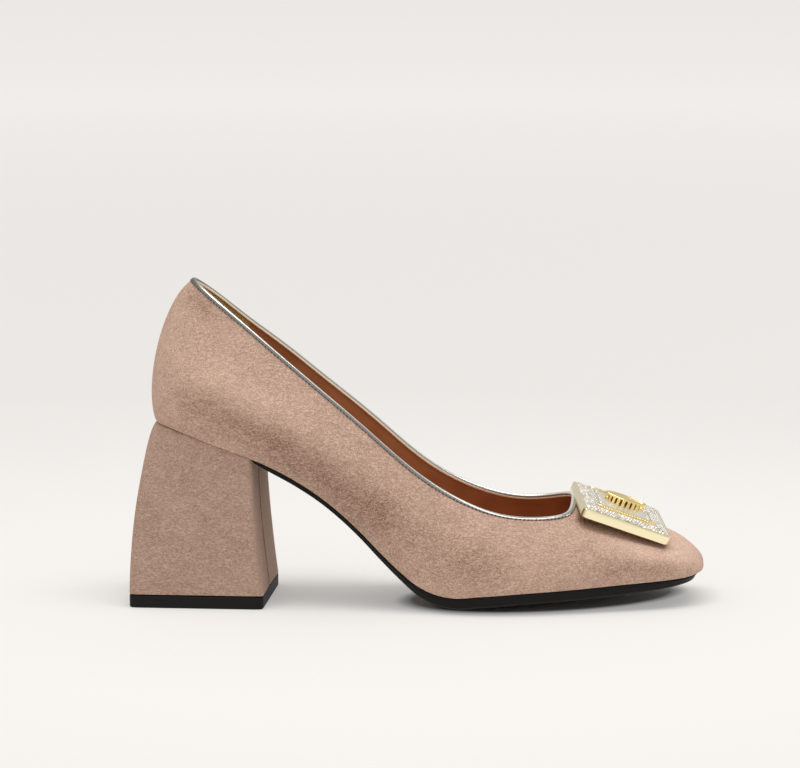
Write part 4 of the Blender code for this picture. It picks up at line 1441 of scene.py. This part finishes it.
class PUMP_OT_plate(bpy.types.Operator):
    """Gold plate with a polished rim, a raised step and two beaded ridges"""

    bl_idname = "pump.plate"
    bl_label = "Ornament plate"

    def execute(self, context):
        place = plate_place()
        gold = plated_finish("polished_gold_plating", "gold", 0.08, 0.2)
        plate = lofted(self.underside(place) + self.rim())
        add_piece("gold_plate", *plate, gold, "plate_gold", "ornament_plate", smooth=EDGE_ANGLE, place=place)
        silver = plated_finish("rhodium_setting", "silver", 0.25, 0.4)
        add_piece("setting_bed", *lofted(self.bed()), silver, "plate_gold", smooth=EDGE_ANGLE, place=place)
        wires = []
        for name, side, tint in (("outer_ridge", -1, "boss_gold"), ("inner_ridge", 1, "gold")):
            line = side * (0.5 * STEP_SIDE - RIDGE_SETBACK)
            shapes = self.beads(line + side * BEAD_LINE_SHARE * RIDGE_WIDTH)
            shapes.append(bar(RIDGE_LENGTH, RIDGE_BAR_SHARE * RIDGE_WIDTH, RIDGE_RISE - STEP_RISE, line))
            plating = plated_finish(f"polished_{name}", tint, 0.08, 0.2)
            ridge = joined(shapes)
            add_piece(f"beaded_{name}", *ridge, plating, "plate_gold", smooth=BEAD_ANGLE, place=place)
            line = side * (0.5 * STEP_SIDE - STEP_LEDGE)
            wire, quads = bar(STEP_SIDE - 4 * RIDGE_SETBACK, WIRE_WIDTH, WIRE_RISE, line)
            wires.append((wire[:, [1, 0, 2]] * (1, -1, 1), quads))
        add_piece("step_wires", *joined(wires), silver, "plate_gold", smooth=BEAD_ANGLE, place=place)
        return {"FINISHED"}

    def underside(self, place):
        """Rings from the middle of the underside out to the plate's edge, clear of the vamp."""
        tree = vamp_tree()
        rings = []
        for inset in UNDERSIDE_INSETS:
            rings.append(square_ring(inset, -PLATE_THICK, max(PLATE_CORNER - inset, PLATE_LEAST_CORNER)))
        rings.append(square_ring(0.0, PLATE_EDGE - PLATE_THICK, PLATE_CORNER))
        return [raised_over_vamp(ring, tree, place) for ring in rings]

    def rim(self):
        """Rings of the polished lip, from the plate's side over to the bed."""
        # inset from the outline and height over the face
        levels = (
            (0.0, -0.5),
            (0.15, -0.15),
            (0.5, 0.0),
            (LIP_WIDTH - 0.3, 0.0),
            (LIP_WIDTH - 0.08, -0.1),
            (LIP_WIDTH, BED_DROP),
        )
        return [square_ring(*level, PLATE_CORNER) for level in levels]

    def bed(self):
        """Rings of the setting: the sloping border, the groove round the step, its field and the plinth."""
        inset = 0.5 * (PLATE_SIDE - STEP_SIDE)
        # inset from the outline, height over the face and corner radius
        levels = (
            (LIP_WIDTH + BED_GAP, BED_DROP + 0.05, PLATE_CORNER),
            (LIP_WIDTH + BED_GAP, BED_DROP + BED_LIFT, PLATE_CORNER),
            (inset - STEP_LEDGE, STEP_RISE - BORDER_DROP, 0.5),
            (inset - 0.15, STEP_RISE - 0.7, 0.5),
            (inset + 0.15, STEP_RISE - 0.7, 0.5),
            (inset + STEP_LEDGE, STEP_RISE, 0.5),
            (inset + 3.2, STEP_RISE + 0.05, 1.5),
        )
        rings = [square_ring(*level) for level in levels]
        return rings + self.plinth(rings[-1])

    def plinth(self, ring):
        """Rings that rise from the step's field to the oval foot of the boss."""
        around = np.arctan2(ring[:, 1], ring[:, 0])
        foot = np.stack([0.5 * BOSS_LENGTH * np.cos(around), 0.5 * BOSS_WIDTH * np.sin(around)], axis=1)
        foot *= (0.5 * BOSS_LENGTH + PLINTH_REACH) / (0.5 * BOSS_LENGTH)
        rings = []
        for share in np.linspace(PLINTH_START, 1.0, PLINTH_ROWS):
            level = ring.copy()
            level[:, :2] += (foot - ring[:, :2]) * share
            level[:, 2] += FIELD_RISE * eased(share)
            rings.append(level)
        return rings

    def beads(self, line):
        """Row of small round beads along the foot of a bar."""
        end = 0.5 * RIDGE_LENGTH - BEAD_END_SHARE * BEAD_RADIUS
        places = np.arange(-end, end, BEAD_PITCH_SHARE * BEAD_RADIUS)
        return [bead((u, line, STEP_RISE + BEAD_LIFT), BEAD_RADIUS) for u in places]


def cut_stone(centre, radius, lean, spin):
    """Points and faces of a round stone with a flat table and two rows of facets, turned and leaning."""
    rings = []
    for reach, rise, shift in STONE_LEVELS:
        turn = full_turn(STONE_FACETS) + spin + shift * 2 * math.pi / STONE_FACETS
        level = np.full(STONE_FACETS, rise)
        rings.append(np.stack([reach * np.cos(turn), reach * np.sin(turn), level], axis=1))
    points, faces = lofted(rings)
    points = points * radius
    points[:, 2] += points[:, 0] * lean[0] + points[:, 1] * lean[1]
    return points + centre, faces


def border_places(pitch):
    """Places of the stones in rows round the sloping border."""
    low_half = 0.5 * PLATE_SIDE - LIP_WIDTH - BED_GAP
    high_half = 0.5 * STEP_SIDE + STEP_LEDGE
    width = low_half - high_half
    slope = (STEP_RISE - BORDER_DROP - BED_DROP - BED_LIFT) / width
    rows = int(width / pitch + STONE_ROW_SPARE)
    places = []
    for row in range(rows):
        half = low_half - (row + 0.5) * width / rows
        height = BED_DROP + BED_LIFT + slope * (low_half - half)
        count = round(2 * half / pitch)
        for quarter in range(4):
            cos = math.cos(0.5 * math.pi * quarter)
            sin = math.sin(0.5 * math.pi * quarter)
            for s in (np.arange(count) + 0.5 * (row % 2)) / count:
                along = -half + 2 * half * s
                x = half * cos - along * sin
                y = half * sin + along * cos
                places.append((x, y, height, -slope * cos, -slope * sin))
    return places


def step_places(pitch):
    """Places of the stones in columns beside the step's field."""
    half = 0.5 * STEP_SIDE - 2 * RIDGE_SETBACK - STEP_LEDGE
    steps = round(2 * half / pitch)
    places = []
    for column in range(STEP_COLUMNS):
        for y in np.linspace(-half, half, steps + 1):
            for side in (-1, 1):
                x = side * (0.5 * STEP_SIDE - STEP_COLUMN_SETBACK - column * pitch)
                places.append((x, y, STEP_RISE, 0.0, 0.0))
    return places


class PUMP_OT_stones(bpy.types.Operator):
    """Crystals set over the plate, with small claws between them"""

    bl_idname = "pump.stones"
    bl_label = "Crystals and claws"

    def execute(self, context):
        place = plate_place()
        pitch = size("stone_pitch")
        radius = 0.5 * size("stone")
        chance = np.random.default_rng(STONE_SEED)
        stones = []
        claws = []
        reach = 0.5 * math.sqrt(2) * pitch
        # centre of each stone, and the slope of the bed along X and along Y
        for *centre, slope_x, slope_y in border_places(pitch) + step_places(pitch):
            lean = chance.uniform(-STONE_LEAN, STONE_LEAN, 2) + (slope_x, slope_y)
            raised = np.array(centre) + (0.0, 0.0, STONE_LIFT_SHARE * radius)
            stones.append(cut_stone(raised, radius, lean, chance.uniform(0.0, math.pi)))
            for turn in (0.25 * math.pi, 0.75 * math.pi):
                spot = np.array(centre) + (reach * math.cos(turn), reach * math.sin(turn), CLAW_RISE)
                claws.append(bead(spot, CLAW_RADIUS))
        add_piece("crystals", *joined(stones), crystal_finish(), "plate_gold", place=place)
        silver = plated_finish("rhodium_plating", "silver", 0.15, 0.3)
        add_piece("crystal_claws", *joined(claws), silver, "plate_gold", smooth=SOFT_ANGLE, place=place)
        return {"FINISHED"}


class PUMP_OT_boss(bpy.types.Operator):
    """Fluted oval boss with a bright rim round a plain low dome"""

    bl_idname = "pump.boss"
    bl_label = "Ornament boss"

    def execute(self, context):
        count = BOSS_FLUTES * POINTS_PER_FLUTE
        turn = full_turn(count)
        hollow = 1 - np.clip(FLUTE_MIDDLE - FLUTE_SWING * np.cos(BOSS_FLUTES * turn), 0.0, 1.0)
        top = STEP_RISE + GAP + BOSS_RISE
        rings = []
        for inset, scale, fluting, drop in BOSS_LEVELS:
            inward = inset + fluting * hollow
            x = (0.5 * BOSS_LENGTH - inward) * scale * np.cos(turn)
            y = (0.5 * BOSS_WIDTH - inward) * scale * np.sin(turn)
            rings.append(np.stack([x, y, np.full(count, top - drop)], axis=1))
        gold = plated_finish("polished_boss_gold", "boss_gold", 0.06, 0.15, "boss_recess")
        place = plate_place()
        boss = add_piece(
            "gold_boss", *lofted(rings), gold, "boss_gold", "ornament_boss", smooth=FOLD_ANGLE, place=place
        )
        # Painted shade in the hollows between the flutes, by their depth
        bright = [1 - level[2] * hollow for level in BOSS_LEVELS]
        paint(boss, PAINTED_LIGHT, np.concatenate([*bright, [1.0, 1.0]]))
        return {"FINISHED"}


# Studio


class PUMP_OT_stage(bpy.types.Operator):
    """White floor with a painted glow, soft lights and the camera at the photograph's angle"""

    bl_idname = "pump.stage"
    bl_label = "Stage"

    # what the camera looks at, in millimetres at the heel, then in metres half the floor's side, and the
    # place and the two sides of each light
    target = (111.37, 3.74, 90.87)
    floor_half = 9.0
    key_box = ((0.1, -0.4, 2.6), (3.0, 1.2))
    fill_box = ((0.3, -2.2, 1.0), (2.4, 1.6))

    def execute(self, context):
        scene = context.scene
        stage = scene.pump_stage
        scene.view_settings.view_transform = "Standard"
        self.add_floor()
        self.add_world(stage.world_strength)
        self.add_light("key_light", *self.key_box, stage.key_power)
        self.add_light("fill_light", *self.fill_box, stage.fill_power)
        self.add_camera(scene, stage)
        return {"FINISHED"}

    def add_camera(self, scene, stage):
        """Camera that looks at its target from the photograph's side."""
        lens = bpy.data.cameras.new("camera")
        lens.lens = stage.lens
        lens.sensor_fit = "HORIZONTAL"
        lens.sensor_width = 36.0
        lens.clip_end = 50.0
        back = Vector(
            (
                math.sin(stage.azimuth) * math.cos(stage.elevation),
                -math.cos(stage.azimuth) * math.cos(stage.elevation),
                math.sin(stage.elevation),
            )
        )
        camera = bpy.data.objects.new("camera", lens)
        camera.location = Vector(to_frame(self.target)) + back * stage.distance
        camera.rotation_euler = back.to_track_quat("Z", "Y").to_euler()
        scene.collection.objects.link(camera)
        scene.camera = camera

    def add_floor(self):
        """Flat sheet under the shoe, wide enough to fill the picture from every side."""
        half = self.floor_half
        points = [(-half, -half, 0.0), (half, -half, 0.0), (half, half, 0.0), (-half, half, 0.0)]
        mesh = bpy.data.meshes.new("floor")
        mesh.from_pydata(points, [], [(0, 1, 2, 3)])
        mesh.materials.append(table_finish())
        floor = bpy.data.objects.new("floor", mesh)
        bpy.context.scene.collection.objects.link(floor)

    def add_world(self, strength):
        """Even light from the walls of the room."""
        world = bpy.data.worlds.new("white_room")
        world.use_nodes = True
        shine = world.node_tree.nodes["Background"]
        shine.inputs["Color"].default_value = colour("room")
        shine.inputs["Strength"].default_value = strength
        bpy.context.scene.world = world

    def add_light(self, name, place, sides, power):
        """Soft box that faces the shoe."""
        light = bpy.data.lights.new(name, "AREA")
        light.shape = "RECTANGLE"
        light.size, light.size_y = sides
        light.energy = power
        lamp = bpy.data.objects.new(name, light)
        lamp.location = place
        lamp.rotation_euler = Vector(place).to_track_quat("Z", "Y").to_euler()
        bpy.context.scene.collection.objects.link(lamp)


PIECES = (
    PUMP_OT_upper,
    PUMP_OT_heel_grip,
    PUMP_OT_binding,
    PUMP_OT_stitches,
    PUMP_OT_bottom,
    PUMP_OT_heel,
    PUMP_OT_plate,
    PUMP_OT_stones,
    PUMP_OT_boss,
    PUMP_OT_stage,
)


class PUMP_PT_panel(bpy.types.Panel):
    """Lists the pieces of the pump"""

    bl_label = "Suede pump"
    bl_idname = "PUMP_PT_panel"
    bl_space_type = "VIEW_3D"
    bl_region_type = "UI"
    bl_category = "Pump"

    def draw(self, context):
        """Buttons for the pieces, and the settings below them."""
        for piece in PIECES:
            self.layout.operator(piece.bl_idname)
        for group in (context.scene.pump_sizes, context.scene.pump_colours, context.scene.pump_stage):
            box = self.layout.box()
            for name in group.bl_rna.properties.keys():
                if name not in ("rna_type", "name"):
                    box.prop(group, name)


CLASSES = (PumpSizes, PumpColours, StageSettings, *PIECES, PUMP_PT_panel)


def register():
    """Adds the classes and their settings to Blender."""
    for kind in CLASSES:
        bpy.utils.register_class(kind)
    bpy.types.Scene.pump_sizes = PointerProperty(type=PumpSizes)
    bpy.types.Scene.pump_colours = PointerProperty(type=PumpColours)
    bpy.types.Scene.pump_stage = PointerProperty(type=StageSettings)


def unregister():
    """Takes the classes and their settings out of Blender."""
    del bpy.types.Scene.pump_stage
    del bpy.types.Scene.pump_colours
    del bpy.types.Scene.pump_sizes
    for kind in reversed(CLASSES):
        bpy.utils.unregister_class(kind)


def main():
    """Makes every piece in order."""
    register()
    for piece in PIECES:
        family, name = piece.bl_idname.split(".")
        getattr(getattr(bpy.ops, family), name)()


if __name__ == "__main__":
    main()
